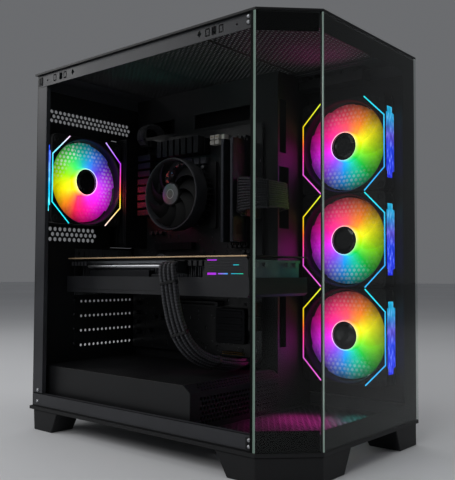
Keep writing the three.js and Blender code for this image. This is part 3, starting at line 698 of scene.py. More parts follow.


# How strongly the painted vent-light dots show round each fan's blades, by angle.
SIDE_PAINTED_VENT_LIGHT = [(0, 0.14), (40, 0.06), (80, 0.0), (130, 0.03), (165, 0.26), (205, 0.26), (235, 0.06),
               (290, 0.0), (335, 0.1)]
REAR_PAINTED_VENT_LIGHT = [(0, 0.18), (25, 0.24), (48, 0.08), (70, 0.2), (100, 0.16), (135, 0.03), (200, 0.0), (270, 0.0),
               (300, 0.45), (340, 0.6)]


def make_looks():
    """Every material, by name."""
    black, soot = srgb(0x0D0E10), srgb(0x141517)
    return {
        "steel": grained("powder_coated_steel", black, soot, (0.42, 0.56), 0.9, 0.05),
        "rail": grained("satin_powder_coat", srgb(0x292A2D), srgb(0x333438), (0.34, 0.48), 0.9, 0.04),
        "plastic": grained("moulded_black_plastic", srgb(0x0C0D0F), srgb(0x131416), (0.45, 0.62), 0.6, 0.08),
        "mesh": grained("matt_filter_mesh", srgb(0x0F1011), srgb(0x1A1B1D), (0.6, 0.75), 0.4, 0.05),
        "gloss": grained("smooth_black_plastic", srgb(0x08090A), srgb(0x0D0E10), (0.08, 0.16), 3, 0.01,
                         coat_weight=0.4),
        # Black rubber for the fan pads; it also serves as the painted shade in screw recesses and along the
        # glass edges.
        "rubber_and_shade": grained("black_rubber_and_shade", srgb(0x0C0C0D), srgb(0x161617), (0.7, 0.85), 0.5, 0.06),
        "glass": tempered_glass(),
        "border": grained("black_printed_border", srgb(0x030304), srgb(0x060607), (0.3, 0.42), 2, 0.005,
                          specular_ior_level=0.1),
        "glass_edge": polished_edge_painted_glow(),
        "nickel": brushed("nickel_plate", srgb(0xB9BBBF), 0.26, (900, 900, 900)),
        "dark_screw": brushed("black_zinc", srgb(0x3A3B3E), 0.36, (900, 900, 900)),
        "fins": brushed("bare_aluminium_fins", srgb(0x9EA1A6), 0.36, (40, 900, 40)),
        "anodised": brushed("black_anodised", srgb(0x1C1D20), 0.4, (60, 700, 60), 0.7),
        "spreader": brushed("memory_spreader", srgb(0x303238), 0.34, (80, 80, 900), 0.7),
        "board": solder_mask(),
        "chip": grained("chip_epoxy", srgb(0x141416), srgb(0x1D1E20), (0.45, 0.6), 0.4, 0.03),
        "slot": grained("socket_plastic", srgb(0x0C0D0E), srgb(0x151618), (0.3, 0.42), 0.5, 0.03),
        "pale_socket": grained("pale_socket_plastic", srgb(0xB8B6AE), srgb(0xCBC9C2), (0.4, 0.5), 0.5, 0.03),
        "tin": brushed("tinned_steel", srgb(0xA9ABAE), 0.3, (500, 60, 60)),
        "gold": brushed("gold_contacts", srgb(0xC79A4B), 0.28, (300, 60, 300)),
        "choke": grained("ferrite_block", srgb(0x3C3D40), srgb(0x4C4D51), (0.5, 0.65), 0.5, 0.05),
        "capacitor": grained("capacitor_sleeve", srgb(0x17181B), srgb(0x222327), (0.3, 0.4), 1, 0.02),
        "shroud": grained("card_cover_plastic", srgb(0x1B1C1F), srgb(0x242528), (0.4, 0.54), 0.7, 0.05),
        "plate": brushed("card_backplate", srgb(0x2B2622), 0.36, (30, 900, 30), 0.8),
        # Pale cream: a painted highlight for the backplate's lit edge.
        "plate_edge_highlight": brushed("plate_edge_painted_highlight", srgb(0xE8C8A0), 0.34, (30, 600, 30), 0.4),
        "sleeve": braided_sleeve(),
        "fan": grained("fan_frame_plastic", srgb(0x08090A), srgb(0x0E0F10), (0.36, 0.5), 0.6, 0.05),
        "blade": grained("satin_black_blades", srgb(0x060607), srgb(0x0A0B0C), (0.6, 0.72), 1.2, 0.03,
                         specular_ior_level=0.18),
        "grey_disc": brushed("grey_hub_disc", srgb(0x6A6C70), 0.34, (500, 500, 500), 0.6),
        "port_blue": grained("blue_port_tongue", srgb(0x1A3F8C), srgb(0x2450A8), (0.35, 0.45), 0.5, 0.02),
        "side_wheel": lit_wheel("side_fan_glow", SIDE_HUES, (20, 56), (2.0, 0.15), 0.02, 0.93, SIDE_PAINTED_VENT_LIGHT),
        "rear_wheel": lit_wheel("rear_fan_glow", REAR_HUES, (20, 56), (1.7, 0.25), 0.02, 0.88, REAR_PAINTED_VENT_LIGHT),
        "side_ring": lit_wheel("side_hub_ring", SIDE_HUES, (17, 21), (2.6, 1.8), 0.7),
        "rear_ring": lit_wheel("rear_hub_ring", REAR_HUES, (17, 21), (2.4, 1.7), 0.7),
        "side_left": lit_line("side_line_warm", [(0.0, srgb(0xF06AE0)), (0.25, srgb(0xE058D0)),
                              (0.45, srgb(0xF03C8C)), (0.58, srgb(0xFF6A28)), (0.75, srgb(0xF5D214)),
                              (1.0, srgb(0xE8F03C))], 1.5, 59),
        "side_right": lit_line("side_line_cool", [(0.0, srgb(0x3CBEFF)), (0.4, srgb(0x2E9BFF)),
                               (0.7, srgb(0x32C8FF)), (1.0, srgb(0x28E6F0))], 1.5, 59),
        "side_strip": lit_line("side_strip", [(0.0, srgb(0x1428FF)), (0.4, srgb(0x1E46FF)),
                               (0.6, srgb(0x6A5AF0)), (0.8, srgb(0x1E9BE6)), (1.0, srgb(0x1EC8FA))],
                               1.3, 44, True),
        "rear_left": lit_line("rear_line_cool", [(0.0, srgb(0x1EC8DC)), (0.3, srgb(0x28DCE6)),
                              (0.72, srgb(0x3CD2F0)), (0.86, srgb(0x8CE6F5)), (1.0, srgb(0xF0C8F0))],
                              1.5, 59),
        "rear_right": lit_line("rear_line_warm", [(0.0, srgb(0xF5D7D2)), (0.18, srgb(0xF0D278)),
                               (0.3, srgb(0xDCD228)), (0.45, srgb(0xF0643C)), (0.6, srgb(0xE63CA0)),
                               (0.8, srgb(0xA03CE6)), (1.0, srgb(0xB496F0))], 1.5, 59),
        "rear_strip": lit_line("rear_strip", [(0.0, srgb(0x1EDCE6)), (0.35, srgb(0x14BEF5)),
                               (0.6, srgb(0x5AB4FF)), (0.8, srgb(0x5078FF)), (1.0, srgb(0x1450FF))],
                               1.4, 44, True),
        "card_light": lit_line("card_light", [(0.0, srgb(0xC828F0)), (0.3, srgb(0xB43CF5)),
                               (0.6, srgb(0x28B4FF)), (1.0, srgb(0x28E6A0))], 0.8, 28, axis=0),
        "white_print": grained("pale_print", srgb(0x9A9DA1), srgb(0xA8ABAF), (0.4, 0.5), 0.6, 0.01),
    }


# ---------- Base ----------

def coat(node, look):
    """A CAD node kept as it is, with its finish."""
    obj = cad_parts[node]
    obj.data.materials.clear()
    obj.data.materials.append(look)
    return obj


def recoat(node, look, bevel, segments=2):
    """A CAD node kept as it is, with its finish and softened edges."""
    obj = coat(node, look)
    weld = obj.modifiers.new("weld", "WELD")
    weld.merge_threshold = 2e-6
    flat = obj.modifiers.new("flat", "DECIMATE")
    flat.decimate_type = "DISSOLVE"
    flat.angle_limit = math.radians(0.5)
    bevelled(obj, bevel, segments)


def point_in(outline, u, v):
    """Whether a point is inside an outline."""
    inside = False
    for (x0, y0), (x1, y1) in zip(outline, outline[1:] + outline[:1]):
        if (y0 > v) != (y1 > v) and u < x0 + (v - y0) / (y1 - y0) * (x1 - x0):
            inside = not inside
    return inside


def bars_along(shape, outline, width, z0, z1):
    """A closed border of flat bars just inside an outline given clockwise or anticlockwise."""
    centre = Vector((sum(p[0] for p in outline), sum(p[1] for p in outline))) / len(outline)
    inner = []
    count = len(outline)
    for i in range(count):
        before, here, after = (Vector(outline[(i + k) % count]) for k in (-1, 0, 1))
        a, b = (here - before).normalized(), (after - here).normalized()
        normals = [Vector((-a.y, a.x)), Vector((-b.y, b.x))]
        normals = [n if n.dot(centre - here) > 0 else -n for n in normals]
        along = normals[0] + normals[1]
        inner.append(here + along * (width / (1 + normals[0].dot(normals[1]))))
    rings = [[(*p, z0) for p in outline], [(*p, z1) for p in outline],
             [(*p, z1) for p in inner], [(*p, z0) for p in inner]]
    return shape.rings(rings, closed=True)


def build_base(looks):
    recoat("plinth", looks["plastic"], 0.7)
    for foot in ("front_left", "front_right", "rear_left", "rear_right"):
        recoat(f"foot_{foot}", looks["plastic"], 1.2, 3)

    low, high = node_box("bottom_filter")
    outline = [(low.x, low.y), (high.x, low.y), (high.x, high.y), (low.x, high.y)]
    screen = bars_along(Shape(), outline, 7, low.z, high.z)
    screen.perforated((low.x + 5, high.x - 5, low.y + 5, high.y - 5), (4.6, 4), hex_hole(1.3),
                      (low.z + 0.6, low.z + 1.3))
    for y in (low.y + 112, low.y + 224):
        screen.box(low.x + 4, high.x - 4, y - 1.5, y + 1.5, low.z, high.z - 0.3)
    screen.box(-14, 14, high.y - 6, high.y, low.z - 0.2, high.z)
    piece("bottom_filter_screen", screen, looks["mesh"], "bottom_filter",
          ("bottom_filter",), sharp=30)


def build_floor(looks):
    low, high = node_box("floor_pan")
    top = low.z + SHEET
    edge = plan(3.5, 1.2, 4.6, 3.1)
    inner = plan(16, 14, 17, 16)
    floor = Shape()
    floor.perforated((inner[0][0], inner[3][0], inner[2][1], depth(147)), (11, 4.4), slot_hole(8.4, 2.1),
                     (low.z, top), keep=lambda u, v: point_in(plan(12, 12, 13, 12), u, v),
                     solid=lambda u, v: not point_in(plan(22, 18, 22, 18), u, v))
    floor.box(inner[0][0], inner[3][0], depth(146.9), inner[0][1], low.z, top)
    bars_along(floor, edge, 16, low.z + 0.02, top + 0.02)
    piece("floor_mesh", floor, looks["steel"], sharp=30)

    rail = Shape()
    bars_along(rail, edge, SHEET, top - 0.2, high.z)
    bars_along(rail, edge, 5, high.z - SHEET, high.z)
    piece("floor_rail", rail, looks["rail"], "chassis", ("floor_pan",), 0.25)


def clip_socket(shape, x, y, z):
    """The moulded socket that a panel's clip springs into, set in the rail."""
    shape.prism(rounded(y - 4.2, y + 4.2, z - 6, z + 6, 1.2), x - 0.5, x + 0.4, turn_x)
    shape.box(x - 1.2, x - 0.4, y - 3, y - 1.2, z - 4.4, z + 4.4)
    shape.box(x - 1.2, x - 0.4, y + 1.2, y + 3, z - 4.4, z + 4.4)


def ball_catch(shape, x, y, z):
    """A bright spring catch in the rail."""
    shape.lathe([(0.4, -1.9), (1.4, -1.6), (2.1, -0.9), (2.4, 0.0), (2.4, 0.5)], 16,
                turn=lambda u, v, w: (x + w, y + u, z + v))


def build_rails(looks):
    """The top frame with its slots, and the sockets and catches round the window opening."""
    x = node_box("top_frame")[0].x
    cutter = Shape()
    for d in (384.7, 372, 363, 116, 107, 97):
        cutter.prism(rounded(depth(d) - 3.2, depth(d) + 3.2, 454.6, 463.4, 0.8), x - 1, x + 1.5, turn_x)
    for d in (347.2, 127.9):
        diamond = [(depth(d) - 3.1, 459.6), (depth(d), 455.6), (depth(d) + 3.1, 459.6), (depth(d), 463.6)]
        cutter.prism(diamond, x - 1, x + 2, turn_x)
    for d in (400.5, 75.5):
        cutter.prism(circle(1.3, 12, 0, (depth(d), 458.5)), x - 1, x + 2, turn_x)
    copied("top_rail", "top_frame", looks["rail"], 0.25, cutter)

    tabs = Shape()
    for d in (384.7, 363, 116, 97):
        tabs.prism(rounded(depth(d) - 1.9, depth(d) + 1.9, 456, 462, 0.6), x - 0.1, x + 0.9, turn_x)
    piece("rail_tabs", tabs, looks["rail"], bevel=0.2)

    sockets, catches = Shape(), Shape()
    clip_socket(sockets, x, depth(415.6), 458.6)
    clip_socket(sockets, x, depth(58.5), 460.5)
    clip_socket(sockets, x, depth(58.5), 38)
    piece("clip_sockets", sockets, looks["plastic"], bevel=0.2)
    for d, z in ((60, 463.3), (60, 457.4), (58.2, 41.2), (58.2, 34.8), (411, 50.8), (411, 36.6)):
        ball_catch(catches, x, depth(d), z)
    piece("catch_balls", catches, looks["nickel"])


def build_top(looks):
    recoat("top_cover", looks["steel"], 0.4)
    low, high = node_box("top_filter")
    edge = plan(18.3, 34.3, 24.3, 26.3)
    inside = plan(21, 37, 27, 29)
    screen = bars_along(Shape(), edge, 7, low.z, high.z)
    screen.perforated((low.x + 5, high.x - 5, low.y + 5, high.y - 5), (7.0, 4.4), slot_hole(5.2, 2.0),
                      (low.z + 0.5, low.z + 1.3), keep=lambda u, v: point_in(inside, u, v))
    for y in (low.y + 125, low.y + 250):
        screen.box(low.x + 4, high.x - 4, y - 1.5, y + 1.5, low.z + 0.2, high.z - 0.4)
    bars = Shape()
    for x in (low.x + 1, high.x - 3):
        bars.box(x, x + 2, depth(60), depth(388), 463.9, 465.2)
    piece("top_fan_bars", bars, looks["rail"], bevel=0.3)
    piece("top_filter_screen", screen, looks["mesh"], "top_filter", ("top_filter",), sharp=30)


# ---------- Shell ----------

def screw_head(head, recess_shade, centre, out, radius=3.0, height=1.8):
    """A pan head screw and a dark cross painted on it as the shade in its cross recess, in two shapes; out is
    the way it faces.
    """
    out = Vector(out)
    right = out.orthogonal().normalized()
    matrix = Matrix((right, out.cross(right), out)).transposed().to_4x4()
    matrix.translation = Vector(centre)
    profile = [(radius, 0), (radius, height * 0.45), (radius * 0.8, height * 0.85), (radius * 0.5, height)]
    rings = [[(u, v, h) for u, v in circle(r, 16)] for r, h in profile]
    head.rings(rings, place=matrix)
    arm, half = radius * 0.5, radius * 0.13
    cross = [(half, half), (arm, half), (arm, -half), (half, -half), (half, -arm), (-half, -arm),
             (-half, -half), (-arm, -half), (-arm, half), (-half, half), (-half, arm), (half, arm)]
    # Painted shade: a dark cross set into the head stands in for the shade in a cut recess.
    recess_shade.rings([[(u, v, h) for u, v in cross] for h in (height - 0.5, height + 0.06)], place=matrix)


def rear_wall_holes(low, high):
    """Everything cut from the rear wall, as one cutter."""
    y0, y1 = low.y - 2, high.y + 2
    cutter = Shape()

    def window(x0, x1, z0, z1, radius=1.5):
        cutter.prism(rounded(x0, x1, z0, z1, radius), y0, y1, turn_y)

    def hexes(x0, x1, z, rows, pitch, radius):
        for row in range(rows):
            for column in range(int((x1 - x0) / pitch)):
                x = x0 + pitch * (column + 0.5 + 0.5 * (row % 2))
                centre = (x, z + row * pitch * 0.87)
                cutter.prism(circle(radius, 6, math.pi / 6, centre), y0, y1, turn_y)

    ports, _ = node_box("rear_ports")
    window(ports.x - 0.4, 45, 240.6, 399)
    window(-58, 50, 93.5, 234.5)
    supply_low, supply_high = node_box("supply_case")
    window(supply_low.x + 2.5, supply_high.x - 2.5, supply_low.z + 2.5, supply_high.z - 2.5)
    hexes(-106, 42, 411.5, 3, 7.1, 2.8)
    hexes(-106, -20, 249.5, 3, 8.0, 3.1)
    fan_low, fan_high = node_box("rear_fan_frame")
    cx, cz = (fan_low.x + fan_high.x) / 2, (fan_low.z + fan_high.z) / 2
    pitch = 6.9
    for row in range(-9, 10):
        for column in range(-9, 10):
            x, z = pitch * (column + 0.5 * (row % 2)), row * pitch * 0.87
            if 19 < math.hypot(x, z) < 55:
                cutter.prism(circle(2.9, 6, math.pi / 6, (cx + x, cz + z)), y0, y1, turn_y)
    for z in (cz - FAN_BOLT, cz + FAN_BOLT):
        for x in (cx - FAN_BOLT, cx + FAN_BOLT):
            cutter.prism(rounded(x - 1.8, x + 1.8, z - 7, z + 7, 1.75), y0, y1, turn_y)
    for z in (53, 425):
        cutter.prism(circle(2.4, 12, 0, (117, z)), y0, y1, turn_y)
    return cutter


def build_rear(looks):
    low, high = node_box("rear_wall")
    plate = Shape().box(low.x, high.x, high.y - SHEET, high.y, low.z, high.z)
    wall = carved(shape_mesh(plate), rear_wall_holes(low, high))
    piece("rear_panel", wall, looks["steel"], "chassis", ("rear_wall",), sharp=30)
    posts = Shape()
    posts.box(low.x, low.x + SHEET, depth(402), high.y - SHEET + 0.1, 47.3, 450.7)
    posts.box(low.x, low.x + 6, depth(402), depth(402) + SHEET, 47.3, 450.7)
    posts.box(high.x - SHEET, high.x, depth(402), high.y - SHEET + 0.1, 47.3, 450.7)
    piece("rear_posts", posts, looks["rail"], bevel=0.25)

    heads, recess_shades = Shape(), Shape()
    fan_low, fan_high = node_box("rear_fan_frame")
    for x in (fan_low.x + 7.3, fan_high.x - 7.3):
        for z in (fan_low.z + 7.3, fan_high.z - 7.3):
            screw_head(heads, recess_shades, (x, high.y, z), (0, 1, 0), 3.4)
    supply_low, supply_high = node_box("supply_case")
    for x in (supply_low.x + 4, supply_high.x - 4):
        for z in (supply_low.z - 4, supply_high.z + 4):
            screw_head(heads, recess_shades, (x, high.y, z), (0, 1, 0), 3.0)
    for d in (166.5, 146.2, 125.9, 105.6):
        screw_head(heads, recess_shades, (-60.5, high.y - 2.4, d), (0, -1, 0), 2.8)
    piece("rear_screws", heads, looks["dark_screw"], sharp=40)
    # Painted shade in the screws' cross recesses.
    piece("rear_screw_recess_shade", recess_shades, looks["rubber_and_shade"])

    for number in (4, 5, 6, 7):
        node = f"slot_cover_{number}"
        low, high = node_box(node)
        plate = Shape().box(low.x, high.x, low.y, high.y, low.z - 0.69, high.z + 0.69)
        cutter = Shape()
        for i in range(13):
            centre = (-49 + 7.5 * i, (low.z + high.z) / 2 + 1)
            cutter.prism(circle(2.0, 8, 0, centre), low.y - 1, high.y + 1, turn_y)
        piece(f"slot_blank_{number}", carved(shape_mesh(plate), cutter), looks["steel"],
              "chassis", (node,), sharp=30)


KNURLS = 64


def knurl(angle):
    """A thumbscrew head's radius at an angle, in and out by turns."""
    return 6.5 if round(angle / (2 * math.pi) * KNURLS) % 2 else 6.05


def build_sides(looks):
    copied("tray_plate", "motherboard_tray", looks["steel"], 0.25)
    copied("fan_bracket", "side_fan_bracket", looks["steel"], 0.25)
    copied("front_post", "front_pillar", looks["steel"], 0.25)

    low, high = node_box("right_panel")
    fans = [node_box(f"side_fan_{level}_frame") for level in ("lower", "middle", "upper")]
    fan_y = (fans[0][0].y + fans[0][1].y) / 2
    supply_low, supply_high = node_box("supply_case")
    supply_y = (supply_low.y + supply_high.y) / 2
    cutter = Shape()
    pitch = 7.0

    def vent(y0, y1, z0, z1):
        for row in range(int((z1 - z0) / (pitch * 0.87))):
            for column in range(int((y1 - y0) / pitch)):
                centre = (y0 + pitch * (column + 0.5 + 0.5 * (row % 2)), z0 + (row + 0.5) * pitch * 0.87)
                cutter.prism(circle(2.9, 6, math.pi / 6, centre), low.x - 1, high.x + 1, turn_x)

    for fan_low, fan_high in fans:
        vent(fan_y - 52, fan_y + 50, fan_low.z + 8, fan_high.z - 6)
    vent(supply_y - 42, supply_y + 38, supply_low.z + 20, supply_high.z - 20)
    mesh = shape_mesh(Shape().box(high.x - 0.9, high.x, low.y, high.y, low.z, high.z))
    piece("side_panel_skin", carved(mesh, cutter), looks["steel"], "right_panel",
          ("right_panel",), sharp=30)
    tabs = Shape()
    for z in (53, 425):
        tabs.box(106, high.x - 0.4, high.y - 1, high.y, z - 8, z + 8)
    tabs.box(high.x - 5, high.x - 0.5, high.y - 1, high.y, low.z + 1, high.z - 1)
    piece("side_panel_tabs", tabs, looks["steel"], "right_panel", bevel=0.2)

    for level in ("lower", "upper"):
        node = f"thumbscrew_{level}"
        screw_low, screw_high = node_box(node)
        centre = ((screw_low.x + screw_high.x) / 2, (screw_low.z + screw_high.z) / 2)
        face = screw_high.y
        head = Shape()
        head.lathe([(5.6, face - 7.7), (knurl, face - 7.2), (knurl, face - 1.4), (5.6, face - 0.8),
                    (5.2, face - 0.05), (3.0, face - 0.05), (2.6, face - 1.2)], KNURLS, turn=turn_y,
                   centre=centre)
        head.lathe([(2.0, screw_low.y), (2.0, face - 7.5)], 16, turn=turn_y, centre=centre)
        piece(f"{node}_head", head, looks["dark_screw"], node, (node,), sharp=50)


# ---------- Glass ----------

def build_glass(looks):
    for node in ("corner_glass", "front_glass"):
        coat(node, looks["glass"])

    low, high = node_box("front_glass")
    back = high.y + CLEARANCE
    border = Shape()
    border.box(low.x + 4.4, high.x - 1.4, back, back + 0.15, 447, high.z - 0.5)
    border.box(low.x + 4.4, high.x - 1.4, back, back + 0.15, low.z + 0.5, 51)
    border.box(97, high.x - 1.4, back, back + 0.15, 51, 447)
    piece("front_glass_border", border, looks["border"], "front_glass")

    _, side_corner, front_corner = plan(0, 0, 0, 0)[:3]
    _, inner_side, inner_front = plan(0, 0, 4, 0)[:3]
    start, end = Vector(inner_side), Vector(inner_front)
    along = (end - start).normalized()
    inward = Vector((-along.y, along.x))
    inward = inward if inward.y > 0 else -inward
    band = Shape()
    corners = [start + along * 3.2, end - along * 2.2]
    near = [p + inward * 0.25 for p in corners]
    far = [p + inward * 0.4 for p in corners]
    outline = [near[0], near[1], far[1], far[0]]
    band.prism(outline, 447, high.z - 0.5)
    band.prism(outline, low.z + 0.5, 51)
    piece("corner_glass_border", band, looks["border"])

    edge = Shape()
    side, inner = Vector(side_corner), Vector(inner_side)
    tip = Vector(front_corner) - along * 0.35
    inner_tip = Vector(inner_front) - along * 0.35
    thin = 0.4
    near_side = side + (inner - side) * thin
    ends = low.z + 0.3, high.z - 0.3
    edge.prism([side, side + along * 0.5, near_side + along * 0.5, near_side], *ends)
    # Painted shade: a dark strip over the rest of the corner glass's edges stands in for the shade seen
    # through them.
    edge_shade = Shape()
    edge_shade.prism([near_side, near_side + along * 0.5, inner + along * 0.5, inner], *ends)
    near_tip = tip + (inner_tip - tip) * 0.25
    edge.prism([tip - along * 0.5, tip, near_tip, near_tip - along * 0.5], *ends)
    edge_shade.prism([near_tip - along * 0.5, near_tip, inner_tip, inner_tip - along * 0.5], *ends)
    piece("corner_glass_edges", edge, looks["glass_edge"])
    piece("corner_glass_edge_shade", edge_shade, looks["rubber_and_shade"])
    bright = Shape()
    bright.box(low.x - 0.05, low.x + 0.6, low.y + 0.2, low.y + 1.0, *ends)
    piece("front_glass_edge", bright, looks["glass_edge"], "front_glass", bevel=0.15)
    # Painted shade: a dark strip behind the front glass's bright edge stands in for the shade seen through
    # it.
    outer_end, inner_end = Vector((low.x, low.y)), Vector((inner_front[0] + CLEARANCE, high.y))
    behind_edge = outer_end + (inner_end - outer_end) * 0.25
    deep = Vector((0.5, 0))
    edge_shade = Shape()
    edge_shade.prism([behind_edge, behind_edge + deep, inner_end + deep, inner_end], *ends)
    piece("front_glass_edge_shade", edge_shade, looks["rubber_and_shade"], "front_glass")


# ---------- Drive and cable cover ----------

def build_cover(looks):
    copied("cover_shell", "drive_cover", looks["steel"], 0.9)
    low, high = node_box("drive_cover_grille")
    foot, bevel_z, y0, y1 = low.z, 74, low.y, high.y
    grille = Shape()
    x0, x1 = low.x, high.x
    solid_end = x0 + 16
    grille.perforated((x0, x1, foot, bevel_z), (5.6, 5.0), hex_hole(2.1), (y0 + 0.1, y0 + SHEET), turn_y,
                      solid=lambda u, v: u < solid_end or v < foot + 6 or v > bevel_z - 3)
    rise = high.z - 0.4 - bevel_z
    run = y1 - 0.4 - y0

    def slope(u, v, w):
        length = math.hypot(rise, run)
        along, out = run / length, rise / length
        return (u, y0 + v * along + w * out, bevel_z + v * out - w * along)

    grille.perforated((x0, x1, 0, math.hypot(rise, run)), (5.0, 4.0), hex_hole(1.55), (0.0, 1.0), slope,
                      solid=lambda u, v: u < solid_end)
    piece("cover_grille", grille, looks["steel"], "chassis", ("drive_cover_grille",),
          sharp=30)


# ---------- Front ports and buttons ----------

def build_controls(looks):
    recoat("power_button", looks["gloss"], 0.5, 3)
    recoat("reset_button", looks["gloss"], 0.4, 3)
    recoat("front_ports", looks["slot"], 0.3)
    tongues = Shape()
    low, high = node_box("front_ports")
    mid = (low.x + high.x) / 2
    for d in (104, 86):
        tongues.box(mid - 0.3, mid + 1.4, depth(d) - 5.2, depth(d) + 5.2, 456, high.z - 1.2)
    piece("port_tongues", tongues, looks["port_blue"], bevel=0.15)
    ring = Shape()
    ring.lathe([(3.1, high.z + 0.1), (3.1, high.z + 0.35), (2.1, high.z + 0.35), (2.1, high.z + 0.1)], 24,
               closed=True, centre=(mid, depth(69)))
    piece("audio_ring", ring, looks["tin"])


# ---------- Motherboard ----------

BOARD_X = 45.0
MEMORY_SLOTS = (217.25, 209.5, 201.75, 194)


def on_board(shape, d0, d1, z0, z1, low, high):
    """A box standing on the board's face from low to high millimetres off it."""
    return shape.box(BOARD_X - high, BOARD_X - low, depth(d0), depth(d1), z0, z1)


def board_drum(shape, d, z, radius, low, high, sides=20, lip=0.5):
    """A round part standing on the board's face."""
    shape.lathe([(radius, BOARD_X - low), (radius, BOARD_X - high + lip), (radius - lip, BOARD_X - high)],
                sides, turn=turn_x, centre=(depth(d), z))


def board_small_parts(looks):
    """Rows of small chips, capacitors and resistors, laid out from a fixed seed."""
    draw = random.Random(7)
    taken = [(388, 417, 240, 400), (345, 380, 283, 378), (258, 348, 363, 400), (243, 345, 262, 362),
             (188, 222, 238, 384), (240, 338, 214, 228), (240, 338, 157, 169), (172, 188, 270, 330),
             (286, 368, 232, 252), (172, 188, 126, 172)]
    chips, ends, tops = Shape(), Shape(), Shape()
    placed = 0
    while placed < 190:
        d, z = draw.uniform(177, 413), draw.uniform(99, 396)
        size = draw.choice(((1.0, 0.6), (1.6, 0.9), (2.2, 1.4), (4.2, 4.2), (6.5, 5.0)))
        if draw.random() < 0.5:
            size = size[::-1]
        half = (size[0] / 2 + 1, size[1] / 2 + 1)
        if any(a - half[0] < d < b + half[0] and c - half[1] < z < e + half[1] for a, b, c, e in taken):
            continue
        taken.append((d - half[0], d + half[0], z - half[1], z + half[1]))
        half = (size[0] / 2, size[1] / 2)
        if max(size) > 3:
            on_board(chips, d - half[0], d + half[0], z - half[1], z + half[1], 0.15, 1.3)
            on_board(ends, d - half[0] - 0.6, d + half[0] + 0.6, z - half[1] + 0.5, z + half[1] - 0.5,
                     0, 0.35)
        else:
            on_board(tops, d - half[0], d + half[0], z - half[1], z + half[1], 0, 0.6)
            on_board(ends, d - half[0] - 0.25, d + half[0] + 0.25, z - half[1], z + half[1], 0, 0.5)
        placed += 1
    piece("board_chips", chips, looks["chip"], bevel=0.12)
    piece("board_leads", ends, looks["tin"])
    piece("board_resistors", tops, looks["capacitor"])


def build_board(looks):
    plate = Shape().prism(rounded(depth(173), depth(417), 95, 400, 2), BOARD_X, BOARD_X + 1.6, turn_x)
    piece("board_plate", plate, looks["board"], "chassis", ("motherboard",), 0.2)

    sockets, latches, gold = Shape(), Shape(), Shape()
    for d in MEMORY_SLOTS:
        on_board(sockets, d - 3, d - 1.1, 239, 382, 0, 8.3)
        on_board(sockets, d + 1.1, d + 3, 239, 382, 0, 8.3)
        on_board(sockets, d - 3, d + 3, 239, 382, 0, 4.5)
        for z in (237.4, 380.4):
            on_board(latches, d - 2.4, d + 2.4, z, z + 3.4, 0, 11)
    for z in (220.4, 162.94):
        on_board(sockets, 243, 334, z - 3.7, z - 1.2, 0, 11)
        on_board(sockets, 243, 334, z + 1.2, z + 3.7, 0, 11)
        on_board(sockets, 243, 334, z - 3.7, z + 3.7, 0, 5)
        on_board(latches, 238, 243.4, z - 3, z + 3, 0, 12)
    on_board(sockets, 306, 334, 198, 203.5, 0, 11)
    on_board(sockets, 174, 184, 275, 327, 0, 14)
    on_board(sockets, 366, 386, 387, 397, 0, 14)
    for i in range(2):
        on_board(sockets, 174, 186, 131 + i * 19, 148 + i * 19, 0, 12)
    piece("board_sockets", sockets, looks["slot"], bevel=0.2)
    piece("board_latches", latches, looks["capacitor"], bevel=0.4)

    pale, chokes, cans = Shape(), Shape(), Shape()
    for d in (240, 248.5):
        for z in (378, 385):
            on_board(pale, d, d + 7, z, z + 5.8, 0, 9)
    on_board(pale, 230, 235, 378, 390, 0, 9)
    piece("fan_headers", pale, looks["pale_socket"], bevel=0.2)
    pins = Shape()
    for d0 in (240.8, 249.3):
        for i in range(4):
            on_board(pins, d0 + i * 1.4, d0 + 0.5 + i * 1.4, 387.6, 388.1, 2, 10)
    for i in range(14):
        on_board(pins, 200 + i * 2.54, 200.6 + i * 2.54, 98, 98.6, 0, 7)
        on_board(pins, 200 + i * 2.54, 200.6 + i * 2.54, 100.5, 101.1, 0, 7)
    piece("board_pins", pins, looks["gold"])

    for i in range(8):
        on_board(chokes, 334, 343.5, 286 + i * 11.2, 295.4 + i * 11.2, 0, 6.5)
    for i in range(6):
        on_board(chokes, 266 + i * 12.6, 275.6 + i * 12.6, 354.5, 363.5, 0, 6.5)
    piece("board_chokes", chokes, looks["choke"], bevel=0.8)
    for i in range(7):
        board_drum(cans, 328.5, 289 + i * 11.4, 3, 0, 8)
        board_drum(cans, 270 + i * 12.0, 350, 3, 0, 8)
    for d, z in ((232, 256), (232, 266), (232, 340), (232, 330), (190, 232), (198, 232), (352, 262),
                 (362, 262), (372, 262), (352, 190), (364, 190), (376, 190), (352, 140), (364, 140),
                 (376, 120)):
        board_drum(cans, d, z, 3, 0, 8)
    for i in range(4):
        board_drum(cans, 402, 118 + i * 14, 3.2, 0, 9)
    piece("board_capacitors", cans, looks["capacitor"])
    lids = Shape()
    for i in range(7):
        board_drum(lids, 328.5, 289 + i * 11.4, 2.4, 7.9, 8.15, 16, 0.1)
        board_drum(lids, 270 + i * 12.0, 350, 2.4, 7.9, 8.15, 16, 0.1)
    board_drum(lids, 356, 222, 10, 0, 4.2, 28, 0.4)
    piece("capacitor_lids", lids, looks["tin"])
    board_small_parts(looks)

    chipset = Shape()
    outline = rounded(depth(196), depth(246), 112, 158, 3)
    chipset.prism(outline, BOARD_X - 7, BOARD_X - 0.2, turn_x)
    for i in range(5):
        chipset.box(BOARD_X - 8, BOARD_X - 6.9, depth(200), depth(242), 117 + i * 8.4, 121 + i * 8.4)
    piece("chipset_heatsink", chipset, looks["anodised"], bevel=0.5)
    lower = Shape()
    lower.prism(rounded(depth(262), depth(342), 172, 194, 2), BOARD_X - 8, BOARD_X - 0.2, turn_x)
    for i in range(4):
        lower.box(BOARD_X - 8.8, BOARD_X - 7.9, depth(268 + i * 18), depth(281 + i * 18), 175, 191)
    piece("lower_drive_heatsink", lower, looks["anodised"], bevel=0.5)
    copied("upper_drive_heatsink", "m2_heatsink", looks["anodised"], 0.4)
    build_power_fins(looks, "rear", 8, False)
    build_power_fins(looks, "top", 7, True)
    build_ports(looks)


